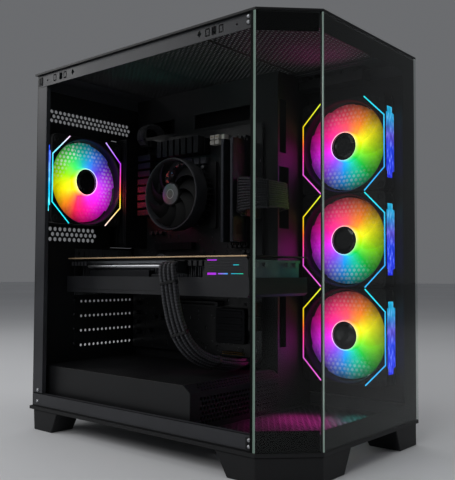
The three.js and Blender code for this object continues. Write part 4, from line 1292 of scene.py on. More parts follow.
def build_power_fins(looks, spot, count, across):
    """A finned block that cools the board's power stage; across says whether its fins stand along Y."""
    node = f"{spot}_power_heatsink"
    low, high = node_box(node)
    block = Shape()
    block.prism(rounded(low.y, high.y, low.z, high.z, 2), high.x - 12, high.x, turn_x)
    start, end = (low.y, high.y) if across else (low.z, high.z)
    step = (end - start) / count
    for i in range(count):
        near, far = start + i * step + 1, start + (i + 1) * step - 2
        if across:
            fin = [(near, low.z), (far, low.z), (far, high.z), (near, high.z)]
        else:
            fin = [(low.y, near), (high.y, near), (high.y, far), (low.y, far)]
        block.prism(fin, low.x, high.x - 11, turn_x)
    piece(f"{spot}_power_fins", block, looks["anodised"], "chassis", (node,), 0.5)


def build_ports(looks):
    """The stack of rear ports: one metal shell for each, in a dark cover."""
    low, high = node_box("rear_ports")
    cover = Shape()
    cover.box(low.x + 1, high.x, low.y, high.y - 12, low.z, high.z)
    for i in range(3):
        cover.box(low.x, low.x + 1.1, low.y + 3 + i * 8, low.y + 8 + i * 8, low.z + 4, high.z - 4)
    piece("port_cover", cover, looks["anodised"], "chassis", ("rear_ports",), 0.6)
    shells, tongues, holes = Shape(), Shape(), Shape()
    z = low.z + 4
    for height, blue in ((16, True), (16, True), (14, False), (16, True), (15, False), (14, False),
                         (16, True), (24, None)):
        if z + height > high.z:
            break
        rings = []
        for inset, y in ((0, high.y - 13), (0, high.y), (0.7, high.y), (0.7, high.y - 11)):
            outline = rounded(17 + inset, 33 - inset, z + inset, z + height - inset, 0.5, 1)
            rings.append([(u, y, v) for u, v in outline])
        shells.rings(rings, closed=True)
        holes.box(17.5, 32.5, high.y - 12.8, high.y - 10, z + 0.5, z + height - 0.5)
        if blue:
            for k in (0.3, 0.7):
                tongues.box(20, 30, high.y - 11, high.y - 2, z + height * k - 0.8, z + height * k + 0.8)
        z += height + 3
    piece("port_shells", shells, looks["tin"])
    piece("port_backs", holes, looks["slot"])
    piece("port_contacts", tongues, looks["port_blue"], bevel=0.2)
    plate = Shape().box(low.x - 0.2, 44.6, high.y - 1.0, high.y - 0.2, low.z - 1, high.z + 1)
    cutter = Shape().prism(rounded(16.6, 33.4, low.z + 2, high.z - 2, 1), high.y - 3, high.y + 2, turn_y)
    piece("port_plate", carved(shape_mesh(plate), cutter), looks["dark_screw"], sharp=30)


# ---------- Memory ----------

def build_memory(looks):
    for name in ("rear", "front"):
        node = f"memory_stick_{name}"
        low, high = node_box(node)
        mid = (low.y + high.y) / 2
        body = Shape()
        outline = [(mid - 3.1, high.x), (mid + 3.1, high.x), (mid + 3.1, low.x + 4), (mid + 2.2, low.x + 0.4),
                   (mid - 2.2, low.x + 0.4), (mid - 3.1, low.x + 4)]
        body.rings([[(u, y, z) for y, u in outline] for z in (low.z, high.z)])
        for k in range(5):
            z = low.z + 10 + k * 26
            for side in (-1, 1):
                y = mid + side * 3.05
                near, far = sorted((y, y + side * 0.35))
                body.box(low.x + 6 + 2 * (k % 2), high.x - 3, near, far, z, z + 12)
        body.box(low.x, low.x + 3, mid - 1.6, mid + 1.6, low.z + 6, high.z - 6)
        piece(f"memory_{name}_cooler", body, looks["spreader"], "chassis", (node,), 0.4)
        edge = Shape().box(high.x - 0.5, high.x + 1.0, mid - 0.6, mid + 0.6, low.z + 1, high.z - 1)
        for z0, z1 in ((low.z + 1, low.z + 66), (low.z + 70, high.z - 1)):
            edge.box(high.x + 0.9, high.x + 4.0, mid - 0.6, mid + 0.6, z0, z1)
        piece(f"memory_{name}_board", edge, looks["board"], bevel=0.15)


# ---------- Fans ----------

def square_radius(half, round_by):
    """The distance to a rounded square's edge at an angle."""
    def radius(angle):
        c, s = abs(math.cos(angle)), abs(math.sin(angle))
        big, small = max(c, s), min(c, s)
        edge = half / big
        if edge * small <= half - round_by:
            return edge
        core = (half - round_by) * (c + s)
        return core + math.sqrt(max(0.0, core * core - 2 * (half - round_by) ** 2 + round_by ** 2))
    return radius


def blades(shape, count, root, tip, front, back, chord, lean, thickness=1.0, stations=7, slices=8):
    """Curved blades; chord is each blade's angle in degrees at the root and at the tip."""
    for number in range(count):
        start = 360 * number / count
        rings = []
        for i in range(stations):
            share = i / (stations - 1)
            radius = root + (tip - root) * share
            span = chord[0] + (chord[1] - chord[0]) * share
            middle = start + lean * share ** 1.4
            upper, lower = [], []
            for k in range(slices + 1):
                t = k / slices
                angle = math.radians(middle + span * (t - 0.5))
                arch = math.sin(math.pi * t) * 0.14 * (front - back)
                z = front + (back - front) * t + arch
                half = thickness / 2 * (0.35 + 0.65 * math.sin(math.pi * min(max(t, 0.06), 0.94)))
                x, y = radius * math.cos(angle), radius * math.sin(angle)
                upper.append((x, y, z + half))
                lower.append((x, y, z - half))
            rings.append(upper + lower[::-1])
        shape.rings(rings)
    return shape


def fan_frame_shape(half, bore, deep, arm_radius=20):
    """A square fan frame: a rounded block with a flared bore, and a motor held on four arms."""
    shape = Shape()
    sides = 96
    outer = square_radius(half, 6)
    edge, waist = square_radius(half - 0.5, 6), square_radius(half - 1.2, 6)
    profile = [(edge, 0), (outer, -0.5), (outer, -5), (waist, -5.6), (waist, -deep + 5.6), (outer, -deep + 5),
               (outer, -deep + 0.5), (edge, -deep), (bore + 0.8, -deep), (bore, -deep + 1),
               (bore, -2.5), (bore + 0.7, -1.2), (bore + 1.4, -0.4), (bore + 1.9, 0)]
    shape.lathe(profile, sides, closed=True)
    shape.lathe([(arm_radius, -deep + 0.1), (arm_radius, -deep + 3)], 40)
    for i in range(4):
        matrix = Matrix.Rotation(math.radians(45 + 90 * i), 4, "Z")
        outline = [(arm_radius - 2, -2.4), (bore + 1, -1.8), (bore + 1, 1.8), (arm_radius - 2, 2.4)]
        rings = [[(u, v, h) for u, v in outline] for h in (-deep + 0.1, -deep + 2.6)]
        shape.rings(rings, place=matrix)
    return shape


def octagon_lines(side):
    """The three-part line down one side of a ring fan's face, as a narrow raised bar."""
    width, low, high = 1.5, -0.35, 0.5
    path = [(31, 59), (58.4, 32), (58.4, -32), (31, -59)]
    outer, inner = [], []
    for i, (x, y) in enumerate(path):
        before = Vector(path[max(i - 1, 0)])
        after = Vector(path[min(i + 1, 3)])
        here = Vector((x, y))
        normals = []
        for a, b in ((before, here), (here, after)):
            if (b - a).length > 0:
                along = (b - a).normalized()
                normals.append(Vector((-along.y, along.x)))
        normal = sum(normals, Vector((0, 0))).normalized()
        reach = width / 2 / max(normal.dot(normals[0]), 0.5)
        outer.append(here + normal * reach)
        inner.append(here - normal * reach)
    shape = Shape()
    rings = []
    for a, b in zip(outer, inner):
        rings.append([(side * a.x, a.y, low), (side * a.x, a.y, high), (side * b.x, b.y, high),
                      (side * b.x, b.y, low)])
    return shape.rings(rings)


def strip_shape(side, half, deep):
    """The light guide in the frame's side wall: a long bar with narrower tabs at its ends."""
    shape = Shape()
    x0, x1 = side * (half - 1.6), side * (half + 0.25)
    upper = [(-2.6, 36), (-5.5, 37), (-5.5, 44), (-deep + 7.5, 44), (-deep + 7.5, 37), (-deep + 2.6, 36)]
    outline = upper + [(w, -v) for w, v in reversed(upper)]
    rings = [[(x, v, w) for w, v in outline] for x in (x0, x1)]
    return shape.rings(rings)


def build_ring_fan(name, place, looks, family, strip_side):
    """A 120 mm fan with a rainbow rotor, line guides on its face and a strip down one side."""
    half, bore, deep = 59.8, 57.6, 25
    frame_node, rotor_node = f"{name}_frame", f"{name}_rotor"
    piece(f"{name}_housing", fan_frame_shape(half, bore, deep), looks["fan"],
          "chassis", (frame_node,), sharp=30, place=place)
    for word, side in (("left", -1), ("right", 1)):
        piece(f"{name}_line_{word}", octagon_lines(side), looks[f"{family}_{word}"],
              bevel=0.2, place=place)
    piece(f"{name}_strip", strip_shape(strip_side, half, deep), looks[f"{family}_strip"],
          bevel=0.3, place=place)
    pads = Shape(place)
    for x in (-FAN_BOLT, FAN_BOLT):
        for y in (-FAN_BOLT, FAN_BOLT):
            pads.lathe([(4.4, -0.3), (4.4, 0.5), (3.4, 0.7), (2.2, 0.7), (2.2, -0.3)], 20, closed=True,
                       centre=(x, y))
    piece(f"{name}_pads", pads, looks["rubber_and_shade"])

    rotor = Shape()
    blades(rotor, 9, 20, 55.2, -11, -17.5, (54, 56), 26)
    piece(f"{name}_blades", rotor, looks[f"{family}_wheel"], rotor_node, (rotor_node,),
          sharp=40, place=place)
    ring = Shape()
    ring.lathe([(20.6, -18.5), (20.4, -9), (18.7, -2.6), (18.3, -2.1), (17.9, -2.1), (17.9, -4),
                (17.9, -18.5)], 64, closed=True)
    piece(f"{name}_hub_ring", ring, looks[f"{family}_ring"], rotor_node, place=place)
    hub = Shape()
    hub.lathe([(17.7, -20), (17.7, -3.0), (17.4, -2.7), (16.9, -2.6), (16.5, -3.1), (16.1, -2.6), (10, -2.3),
               (0.5, -2.2)], 56)
    piece(f"{name}_hub_cap", hub, looks["gloss"], rotor_node, sharp=50, place=place)


def build_fans(looks):
    for level in ("lower", "middle", "upper"):
        low, high = node_box(f"side_fan_{level}_frame")
        centre = (low.x, (low.y + high.y) / 2, (low.z + high.z) / 2)
        build_ring_fan(f"side_fan_{level}", facing((0, -1, 0), centre), looks, "side", 1)
    low, high = node_box("rear_fan_frame")
    centre = ((low.x + high.x) / 2, low.y, (low.z + high.z) / 2)
    build_ring_fan("rear_fan", facing((1, 0, 0), centre), looks, "rear", -1)


def build_cooler(looks):
    """The processor's round cooler: a ring, a fan with a plain grey disc, and fins behind it."""
    low, high = node_box("cpu_fan_frame")
    y, z = (low.y + high.y) / 2, (low.z + high.z) / 2
    place = facing((0, -1, 0), (low.x, y, z))
    ring = Shape()
    ring.lathe([(48.2, 0), (49, -1), (49, -20), (47.5, -23.4), (44, -23.4), (46.2, -20), (46.2, -2.4),
                (46.8, -0.6), (47.4, 0)], 72, closed=True)
    ring.lathe([(16, -23.2), (16, -20.4)], 32)
    for i in range(3):
        matrix = Matrix.Rotation(math.radians(30 + 120 * i), 4, "Z")
        ring.rings([[(14, -3, h), (45, -2.4, h), (45, 2.4, h), (14, 3, h)] for h in (-23, -20.8)],
                   place=matrix)
    piece("cooler_ring", ring, looks["rail"], "chassis", ("cpu_fan_frame",), sharp=30,
          place=place)
    rotor = Shape()
    blades(rotor, 9, 15.5, 44.6, -2.6, -15.5, (38, 38), -34)
    rotor.lathe([(16.5, -17), (16.5, -2.6), (15.8, -1.4), (14.6, -1.2), (0.5, -1.1)], 48)
    piece("cooler_blades", rotor, looks["blade"], "cpu_rotor", ("cpu_rotor",),
          sharp=40, place=place)
    disc = Shape()
    disc.lathe([(14.2, -1.3), (14.2, -0.95), (13.8, -0.8), (0.4, -0.8)], 48)
    piece("cooler_disc", disc, looks["grey_disc"], "cpu_rotor", place=place)
    mark = Shape()
    mark.lathe([(6.4, -0.85), (6.4, -0.7), (5.6, -0.7), (5.6, -0.85)], 40, closed=True)
    piece("cooler_disc_ring", mark, looks["white_print"], "cpu_rotor", place=place)

    low, high = node_box("cpu_heatsink")
    fins = Shape()
    fins.lathe([(19, low.x), (19, high.x - 7)], 32, turn=turn_x, centre=(y, z))
    for i in range(36):
        matrix = Matrix.Translation(Vector((0, y, z))) @ Matrix.Rotation(math.radians(10 * i), 4, "X")
        outline = [(18, -0.55), (30, -0.5), (43.5, -0.35), (43.5, 0.35), (30, 0.5), (18, 0.55)]
        fins.rings([[(x, u, v) for u, v in outline] for x in (low.x + 0.2, high.x - 7)], place=matrix)
    fins.box(high.x - 7.2, high.x, y - 22, y + 22, z - 22, z + 22)
    piece("cooler_fins", fins, looks["fins"], "chassis", ("cpu_heatsink",), sharp=30)
    bracket = Shape()
    for side in (-1, 1):
        near, far = sorted((y + side * 33, y + side * 44))
        bracket.prism(rounded(near, far, z - 46, z + 46, 3), BOARD_X - 4, BOARD_X - 0.2, turn_x)
    piece("cooler_mount", bracket, looks["plastic"], bevel=0.4)


# ---------- Graphics card ----------

def build_card(looks):
    low, high = node_box("card_shroud")
    slab_top = 199.5
    x0, x1, y0, y1, z0 = low.x, high.x, low.y, high.y, low.z
    outline = [(y0, z0 + 3), (y0 + 3, z0), (y1 - 1, z0), (y1, z0 + 1), (y1, slab_top), (y0, slab_top)]
    cover = Shape().prism(outline, x0, x1, turn_x)
    cutter = Shape()
    cutter.box(x0 + 2.5, x1 - 2.5, y0 + 2.5, y1 - 2.5, z0 + 16, slab_top + 1)
    fans = []
    for spot in ("front", "middle", "rear"):
        fan_low, fan_high = node_box(f"card_rotor_{spot}")
        fans.append((spot, (fan_low.x + fan_high.x) / 2, (fan_low.y + fan_high.y) / 2, fan_low.z))
    for _, x, y, _ in fans:
        cutter.prism(circle(46, 64, 0, (x, y)), z0 - 1, slab_top + 1)
    for k in range(3):
        cutter.box(x0 - 1, x0 + 0.6, y0 + 128 + k * 3, y1 - 12, z0 + 4 + k * 20, z0 + 4.6 + k * 20)
    piece("card_cover", carved(shape_mesh(cover), cutter), looks["shroud"], "chassis",
          ("card_shroud",), 0.6)
    struts = Shape()
    for _, x, y, _ in fans:
        struts.lathe([(14.5, 192.5), (14.5, 195)], 28, centre=(x, y))
        for i in range(4):
            turn = Matrix.Rotation(math.radians(20 + 90 * i), 4, "Z")
            struts.rings([[(12, -2, h), (47, -1.6, h), (47, 1.6, h), (12, 2, h)] for h in (192.6, 194.6)],
                         place=Matrix.Translation(Vector((x, y, 0))) @ turn)
    piece("card_fan_struts", struts, looks["shroud"], bevel=0.3)

    nose = Shape()
    outline = [(y0 + 1, slab_top - 0.5), (y0 + 68, slab_top - 0.5), (y0 + 62, 221.8), (y0 + 4, 221.8),
               (y0 + 1, 218)]
    nose.prism(outline, x0, x0 + 8, turn_x)
    for k in range(5):
        nose.box(x0 - 0.3, x0 + 0.5, y0 + 8, y0 + 60, 206 + k * 3, 207.2 + k * 3)
    piece("card_nose", nose, looks["shroud"], bevel=0.5)
    place = facing((0, -1, 0), (x0, y0 + 34, 211))
    accents = Shape()
    accents.box(-26, -12, 7.4, 8.6, 0, 0.35)
    accents.box(-26, -13, -8.6, -6.2, 0, 0.35)
    accents.box(-10, 4, -8.0, -6.6, 0, 0.35)
    accents.box(9, 26, -7.6, -6.9, 0, 0.35)
    accents.box(12, 20, 2.0, 2.8, 0, 0.35)
    piece("card_accents", accents, looks["card_light"], place=place)

    for spot, x, y, z in fans:
        rotor = Shape()
        blades(rotor, 11, 14.5, 44.4, 12.5, 1.2, (27, 30), 30)
        rotor.lathe([(15.5, 13), (15.5, 1.2), (14.8, 0.5), (0.5, 0.2)], 40)
        place = Matrix.Translation(Vector((x, y, z)))
        piece(f"card_blades_{spot}", rotor, looks["blade"], f"card_rotor_{spot}",
              (f"card_rotor_{spot}",), sharp=40, place=place)

    low, high = node_box("card_heatsink")
    fins = Shape()
    pitch = 3.6
    count = int((high.y - low.y - 4) / pitch)
    for i in range(count):
        y = low.y + 2 + i * pitch
        fins.box(low.x + 0.6 * (i % 2), high.x, y, y + 0.7, low.z, high.z - 3)
    fins.box(low.x, high.x, low.y, high.y, high.z - 3.1, high.z)
    piece("card_fins", fins, looks["fins"], "chassis", ("card_heatsink",), sharp=30)
    pipes = Shape()
    for x in (low.x + 10, low.x + 26, high.x - 26, high.x - 10):
        path = smooth_path([(x, low.y - 2, 214), (x, low.y + 80, 213), (x, high.y - 80, 213),
                            (x, high.y - 3, 214)], 6)
        pipes.tube(path, 3, 12)
    piece("card_heat_pipes", pipes, looks["tin"])

    low, high = node_box("card_backplate")
    cutter = Shape()
    for i in range(9):
        y = low.y + 18 + i * 7.4
        cutter.prism([(-58, y), (8, y), (8, y + 4), (-58, y + 4)], low.z - 1, high.z + 1)
    plate = shape_mesh(Shape().prism(rounded(low.x, high.x, low.y, high.y, 2.5), low.z, high.z))
    piece("card_plate", carved(plate, cutter), looks["plate"], "chassis",
          ("card_backplate",), 0.2)
    # Painted highlight: a pale cream strip along the backplate's edge stands in for light catching it.
    edge_highlight = Shape().box(low.x - 0.3, low.x + 0.6, low.y + 3, high.y - 3, high.z - 1.5, high.z + 0.05)
    piece("card_plate_edge_highlight", edge_highlight, looks["plate_edge_highlight"], bevel=0.2)
    heads, recess_shades = Shape(), Shape()
    for y in (low.y + 98, low.y + 150, low.y + 215, low.y + 290):
        for x in (-60, 24):
            screw_head(heads, recess_shades, (x, y, high.z), (0, 0, 1), 2.4, 1.2)
    piece("card_screws", heads, looks["dark_screw"], sharp=40)
    # Painted shade in the screws' cross recesses.
    piece("card_screw_recess_shade", recess_shades, looks["rubber_and_shade"])

    low, high = node_box("card_circuit")
    board = Shape().box(low.x, 31, low.y, high.y, low.z, high.z)
    piece("card_board", board, looks["board"], "chassis", ("card_circuit",), 0.2)
    fingers = Shape()
    for i in range(40):
        y = depth(246) + i * 2.1
        fingers.box(31.2, 41.2, y, y + 1.3, low.z - 0.05, high.z + 0.05)
    fingers.box(30.5, 41.5, depth(245), depth(332), low.z + 0.2, high.z - 0.2)
    piece("card_contacts", fingers, looks["gold"])
    build_card_details(looks)


def build_card_details(looks):
    """What shows in the card's side gap: a heat pipe, a dark step, capacitors and the plug's shelf."""
    low, high = node_box("card_shroud")
    bar = Shape()
    bar.tube(smooth_path([(low.x + 4, depth(d), 212.4) for d in (236, 280, 330, 372)], 4), 2.6, 12)
    piece("card_side_pipe", bar, looks["tin"])
    step = Shape()
    step.box(low.x + 1.5, low.x + 9, depth(254), depth(368), 199.2, 207)
    step.box(low.x + 3.5, low.x + 9, depth(228), depth(252), 199.2, 203)
    piece("card_side_step", step, looks["anodised"], bevel=0.5)
    cans, blocks = Shape(), Shape()
    for i in range(5):
        cans.lathe([(2.6, 219), (2.6, 213.5), (2.1, 213)], 16, centre=(low.x + 4.6, depth(380 + i * 7)))
        blocks.box(low.x + 3, low.x + 9, depth(150 + i * 8.6), depth(155.6 + i * 8.6), 212.5, 219)
    piece("card_side_cans", cans, looks["capacitor"])
    piece("card_side_blocks", blocks, looks["chip"], bevel=0.5)
    stay = Shape()
    stay.box(low.x + 0.4, low.x + 9, depth(192), depth(222), 203.0, 204.0)
    stay.box(low.x + 0.4, low.x + 9, depth(192), depth(222), 218.2, 219.2)
    piece("card_power_shelf", stay, looks["slot"], bevel=0.2)

    low, high = node_box("card_bracket")
    cutter = Shape()
    for i in range(4):
        cutter.prism(rounded(-46 + i * 24, -29 + i * 24, 208, 216, 1), low.y - 1, high.y + 1, turn_y)
    for i in range(12):
        for z in (184, 190.5):
            cutter.prism(circle(2.3, 6, math.pi / 6, (-50 + i * 7.4, z)), low.y - 1, high.y + 1, turn_y)
    bracket = shape_mesh(Shape().box(low.x, high.x, low.y, high.y, low.z - 0.5, high.z))
    piece("card_slot_plate", carved(bracket, cutter), looks["tin"], "chassis",
          ("card_bracket",), sharp=30)
    sockets = Shape()
    for i in range(4):
        sockets.box(-45.5 + i * 24, -29.5 + i * 24, low.y - 6, high.y - 0.3, 208.4, 215.6)
    piece("card_outputs", sockets, looks["slot"], bevel=0.3)


# ---------- Power supply ----------

def build_supply(looks):
    copied("supply_box", "supply_case", looks["steel"], 0.6)
    low, high = node_box("supply_rotor")
    y, z = (low.y + high.y) / 2, (low.z + high.z) / 2
    place = facing((0, 1, 0), (high.x, y, z))
    rotor = Shape()
    blades(rotor, 9, 15, 42.8, -1.5, -13, (30, 33), 30)
    rotor.lathe([(16, -14.5), (16, -1.4), (15, -0.6), (0.5, -0.4)], 40)
    piece("supply_blades", rotor, looks["blade"], "supply_rotor", ("supply_rotor",),
          sharp=40, place=place)
    guard = Shape(place)
    for radius in (10, 18, 26, 34, 42):
        ring = [Vector((radius * math.cos(a), radius * math.sin(a), 1.1))
                for a in (2 * math.pi * i / 48 for i in range(48))]
        rings = []
        for point in ring:
            out = point.normalized()
            out.z = 0
            rings.append([point + out * 0.6 * u + Vector((0, 0, 0.6 * v)) for u, v in circle(1, 8)])
        guard.rings(rings, closed=True)
    for i in range(4):
        a = math.radians(45 + 90 * i)
        guard.tube([Vector((r * math.cos(a), r * math.sin(a), 1.1)) for r in (9, 46)], 0.6)
    piece("supply_guard", guard, looks["dark_screw"])
    recoat("supply_inlet", looks["slot"], 0.5)
    recoat("supply_switch", looks["gloss"], 0.3)
    low, high = node_box("supply_inlet")
    pins = Shape()
    mid_x, mid_z = (low.x + high.x) / 2, (low.z + high.z) / 2
    for x, z in ((mid_x, mid_z + 4), (mid_x - 7, mid_z - 2), (mid_x + 7, mid_z - 2)):
        pins.box(x - 1, x + 1, high.y - 13, high.y - 3, z - 2.2, z + 2.2)
    piece("inlet_pins", pins, looks["tin"], bevel=0.3)


# ---------- Leads ----------

# Each lead's route, as (x, millimetres behind the front, z)
CARD_LEAD = [(-84, 206.5, 213), (-91, 206, 212), (-95, 203, 204), (-96, 199, 190), (-95, 196, 170),
             (-91, 192, 146), (-83, 188, 126), (-68, 184, 110), (-46, 181, 100), (-18, 180, 94),
             (10, 186, 90), (40, 198, 88), (62, 203, 88.5), (78, 216, 92), (88, 245, 100),
             (90, 290, 110), (90, 320, 110)]
BOARD_LEAD = [(18, 179, 301), (6, 178, 301.5), (-1, 169, 302), (3, 154, 302), (16, 143, 302),
              (34, 138, 302), (54, 142, 302), (66, 154.6, 302), (74, 176, 298), (80, 210, 280),
              (86, 250, 240), (92, 284, 192), (97, 306, 160), (97, 320, 160)]
PROCESSOR_LEAD = [(31, 376, 392), (24, 376, 394), (20, 376, 402), (24, 376, 413), (36, 376, 419),
                  (50, 376, 419), (60, 376, 412), (64, 376, 396)]


def wire_bundle(name, route, grid, pitch, radius, spread, looks, replaces=()):
    """Braided wires side by side along one route.

    grid is how many there are across and up, pitch their spacing, and spread(share) how far they
    open out at that share of the way.
    """
    path = smooth_path([(x, depth(d), z) for x, d, z in route], 6)
    frames = path_frames(path)
    shape = Shape()
    sides = 10
    uv = []
    for number in range(grid[0] * grid[1]):
        across = (number % grid[0] - (grid[0] - 1) / 2) * pitch[0]
        height = (number // grid[0] - (grid[1] - 1) / 2) * pitch[1]
        centres = []
        for i, (point, side, up) in enumerate(frames):
            wide, tall = spread(i / (len(frames) - 1))
            stray = 0.35 * math.sin(i * 0.3 + number * 1.7)
            centres.append(point + side * (across * wide + stray) + up * (height * tall - stray * 0.5))
        length = 0.0
        rings = []
        for i, (point, side, up) in enumerate(path_frames(centres)):
            length += (centres[i] - centres[i - 1]).length if i else 0
            rings.append([point + side * u + up * v for u, v in circle(radius, sides)])
            uv.extend([(k / sides * 6, length / radius) for k in range(sides)])
        shape.rings(rings)
    obj = piece(name, shape, looks["sleeve"], "chassis", replaces, sharp=60)
    layer = obj.data.uv_layers.new(name="weave")
    for loop in obj.data.loops:
        layer.data[loop.index].uv = uv[loop.vertex_index]
    return frames


def comb(shape, frame_at, across, height, thick=2.4):
    """A clip that holds the wires side by side; across and height are its half sizes."""
    point, side, up = frame_at
    ahead = side.cross(up)
    outline = rounded(-across, across, -height, height, min(across, height) * 0.6)
    shape.rings([[point + side * u + up * v + ahead * w for u, v in outline]
                 for w in (-thick / 2, thick / 2)])


def build_leads(looks):
    combs = Shape()
    frames = wire_bundle("card_lead_wires", CARD_LEAD, (4, 2), (5.2, 4.8), 2.3, lambda share: (1, 1), looks,
                         ("card_power_lead",))
    for i in (17, 33, 50):
        comb(combs, frames[i], 10.9, 5.4, 3.2)

    def closing(share):
        return 1, max(1.0, 1.52 - share * 1.4)

    frames = wire_bundle("board_lead_wires", BOARD_LEAD, (2, 12), (3.0, 2.7), 1.25, closing, looks,
                         ("board_power_lead",))
    for i in (9, 24, 38):
        comb(combs, frames[i], 3.3, 16.5 * closing(i / (len(frames) - 1))[1])
    frames = wire_bundle("processor_lead_wires", PROCESSOR_LEAD, (4, 2), (3.1, 3.1), 1.3,
                         lambda share: (1, 1), looks)
    comb(combs, frames[9], 6.6, 3.6)
    piece("lead_combs", combs, looks["slot"], bevel=0.3)

    plugs = Shape()
    plugs.box(-86, -70, depth(196), depth(217), 204.5, 217.8)
    plugs.box(15, 30.7, depth(174.4), depth(183.6), 276, 326)
    for i in range(8):
        y = depth(196.6 + i * 2.5)
        plugs.prism(rounded(y, y + 2.1, 206.0, 211.0, 0.6), -88, -85.8, turn_x)
        plugs.prism(rounded(y, y + 2.1, 212.0, 217.0, 0.6), -88, -85.8, turn_x)
    for i in range(12):
        z = 277 + i * 4.1
        plugs.prism(rounded(depth(175), depth(178.7), z, z + 3.5, 0.7), 13.2, 15.3, turn_x)
        plugs.prism(rounded(depth(179.4), depth(183.1), z, z + 3.5, 0.7), 13.2, 15.3, turn_x)
    plugs.box(-84, -74, depth(203), depth(210), 217.6, 219.0)
    plugs.box(26, 31, depth(368), depth(384), 388, 396.4)
    piece("lead_plugs", plugs, looks["slot"], bevel=0.3)


# ---------- Scene ----------

CAMERA_PLACE = (-0.66487, -0.58889, 0.20485)
CAMERA_YAW, CAMERA_PITCH, CAMERA_ROLL = 49.6, 2.68, 0.24
CAMERA_LENS = 52.34
FLOOR_RADIUS = 14.0


def build_camera():
    yaw, pitch, roll = (math.radians(a) for a in (CAMERA_YAW, CAMERA_PITCH, CAMERA_ROLL))
    ahead = Vector((math.sin(yaw) * math.cos(pitch), math.cos(yaw) * math.cos(pitch), math.sin(pitch)))
    right = Vector((math.cos(yaw), -math.sin(yaw), 0))
    up = right.cross(ahead)
    level_right = right * math.cos(roll) + up * math.sin(roll)
    level_up = up * math.cos(roll) - right * math.sin(roll)
    data = bpy.data.cameras.new("camera")
    data.lens = CAMERA_LENS
    data.sensor_width = 36
    data.sensor_fit = "AUTO"
    camera = bpy.data.objects.new("camera", data)
    matrix = Matrix((level_right, level_up, -ahead)).transposed().to_4x4()
    matrix.translation = Vector(CAMERA_PLACE)
    camera.matrix_world = matrix
    bpy.context.scene.collection.objects.link(camera)
    bpy.context.scene.camera = camera


def soft_light(name, place, target, size, power, colour=(1, 1, 1)):
    data = bpy.data.lights.new(name, "AREA")
    data.shape = "RECTANGLE"
    data.size, data.size_y = size
    data.energy = power
    data.color = colour
    light = bpy.data.objects.new(name, data)
    light.location = place
    light.rotation_euler = (Vector(target) - Vector(place)).to_track_quat("-Z", "Y").to_euler()
    bpy.context.scene.collection.objects.link(light)
    return light


def build_stage():
    floor_look = grained("pale_studio_floor", srgb(0xDADBDD), srgb(0xE2E3E5), (0.6, 0.7), 6, 0.02, patch=0.8)
    mesh = bpy.data.meshes.new("studio_floor")
    points = [(x * FLOOR_RADIUS, y * FLOOR_RADIUS, 0) for x, y in circle(1, 64)]
    mesh.from_pydata(points, [], [list(range(64))])
    mesh.materials.append(floor_look)
    floor = bpy.data.objects.new("studio_floor", mesh)
    bpy.context.scene.collection.objects.link(floor)

    world = bpy.data.worlds.new("studio")
    world.use_nodes = True
    world.node_tree.nodes["Background"].inputs["Color"].default_value = srgb(0xB9BBBF)
    world.node_tree.nodes["Background"].inputs["Strength"].default_value = 0.3
    bpy.context.scene.world = world
    bpy.context.scene.view_settings.view_transform = "Standard"

    centre = (0, 0, 0.25)
    soft_light("key", (-1.6, -0.2, 1.5), centre, (1.2, 1.2), 11)
    soft_light("top", (0.2, 0.1, 1.9), centre, (1.4, 1.4), 8)
    rim = soft_light("rim", (-1.0, 1.5, 1.1), centre, (0.9, 0.9), 9)
    rim.visible_camera = False
    fill = soft_light("fill", (1.3, -1.5, 0.9), centre, (1.2, 1.0), 3)
    fill.visible_glossy = False
    fill.visible_transmission = False


def tower_only():
    """Receivers of the fans' light: everything but the studio floor."""
    receivers = bpy.data.collections.new("fan_light_receivers")
    receivers.objects.link(bpy.data.objects["studio_floor"])
    receivers.collection_objects[0].light_linking.link_state = "EXCLUDE"
    return receivers


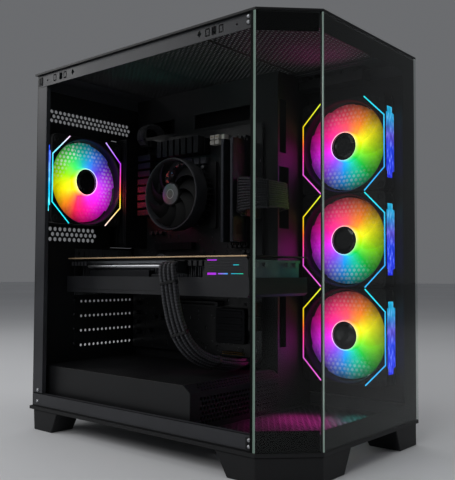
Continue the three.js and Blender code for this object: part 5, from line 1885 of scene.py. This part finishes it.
def fan_light(name, place, target, power, colour, receivers, spread=70):
    """The coloured light that a fan throws into the case, unseen itself."""
    data = bpy.data.lights.new(name, "SPOT")
    data.energy = power
    data.color = colour
    data.spot_size = math.radians(spread)
    data.spot_blend = 0.9
    data.shadow_soft_size = 0.02
    light = bpy.data.objects.new(name, data)
    light.location = Vector(place) * MM
    light.rotation_euler = (Vector(target) - Vector(place)).to_track_quat("-Z", "Y").to_euler()
    light.visible_camera = False
    light.visible_transmission = False
    light.visible_glossy = False
    light.light_linking.receiver_collection = receivers
    bpy.context.scene.collection.objects.link(light)


def build_fan_lights():
    pink, lime, teal = (1.0, 0.03, 0.4), (0.4, 1.0, 0.03), (0.02, 0.9, 0.7)
    receivers = tower_only()
    for level in ("lower", "middle", "upper"):
        low, high = node_box(f"side_fan_{level}_frame")
        x, y, z = low.x - 8, (low.y + high.y) / 2, (low.z + high.z) / 2
        fan_light(f"{level}_pink", (x, y + 30, z), (x - 60, y + 130, z - 60), 1.3, pink, receivers)
        fan_light(f"{level}_lime", (x, y + 10, z + 30), (x - 80, y + 60, z + 60), 0.25, lime, receivers)
    low, high = node_box("side_fan_lower_frame")
    x, y, z = low.x - 8, (low.y + high.y) / 2, (low.z + high.z) / 2
    fan_light("floor_pink", (x - 20, y + 20, z), (x - 80, y, 31), 34.0, pink, receivers, 60)
    fan_light("floor_teal", (x - 8, y - 20, z - 10), (x - 30, y - 45, 31), 13.0, teal, receivers, 50)
    low, high = node_box("side_fan_upper_frame")
    z = (low.z + high.z) / 2
    fan_light("roof_pink", (x - 10, y, z + 10), (x - 70, y - 10, 466), 3.5, pink, receivers)
    low, high = node_box("rear_fan_frame")
    x, y, z = (low.x + high.x) / 2, low.y - 8, (low.z + high.z) / 2
    fan_light("rear_red", (x + 35, y, z - 15), (x + 110, y - 30, z - 15), 2.2, (1.0, 0.06, 0.04), receivers)
    fan_light("rear_teal", (x, y, z + 40), (x + 20, y - 100, z + 110), 1.0, (0.05, 0.9, 0.6), receivers)


def build():
    looks = make_looks()
    build_camera()
    build_stage()
    build_base(looks)
    build_floor(looks)
    build_rails(looks)
    build_top(looks)
    build_rear(looks)
    build_sides(looks)
    build_glass(looks)
    build_cover(looks)
    build_controls(looks)
    build_board(looks)
    build_memory(looks)
    build_fans(looks)
    build_cooler(looks)
    build_card(looks)
    build_supply(looks)
    build_leads(looks)
    build_fan_lights()


build()
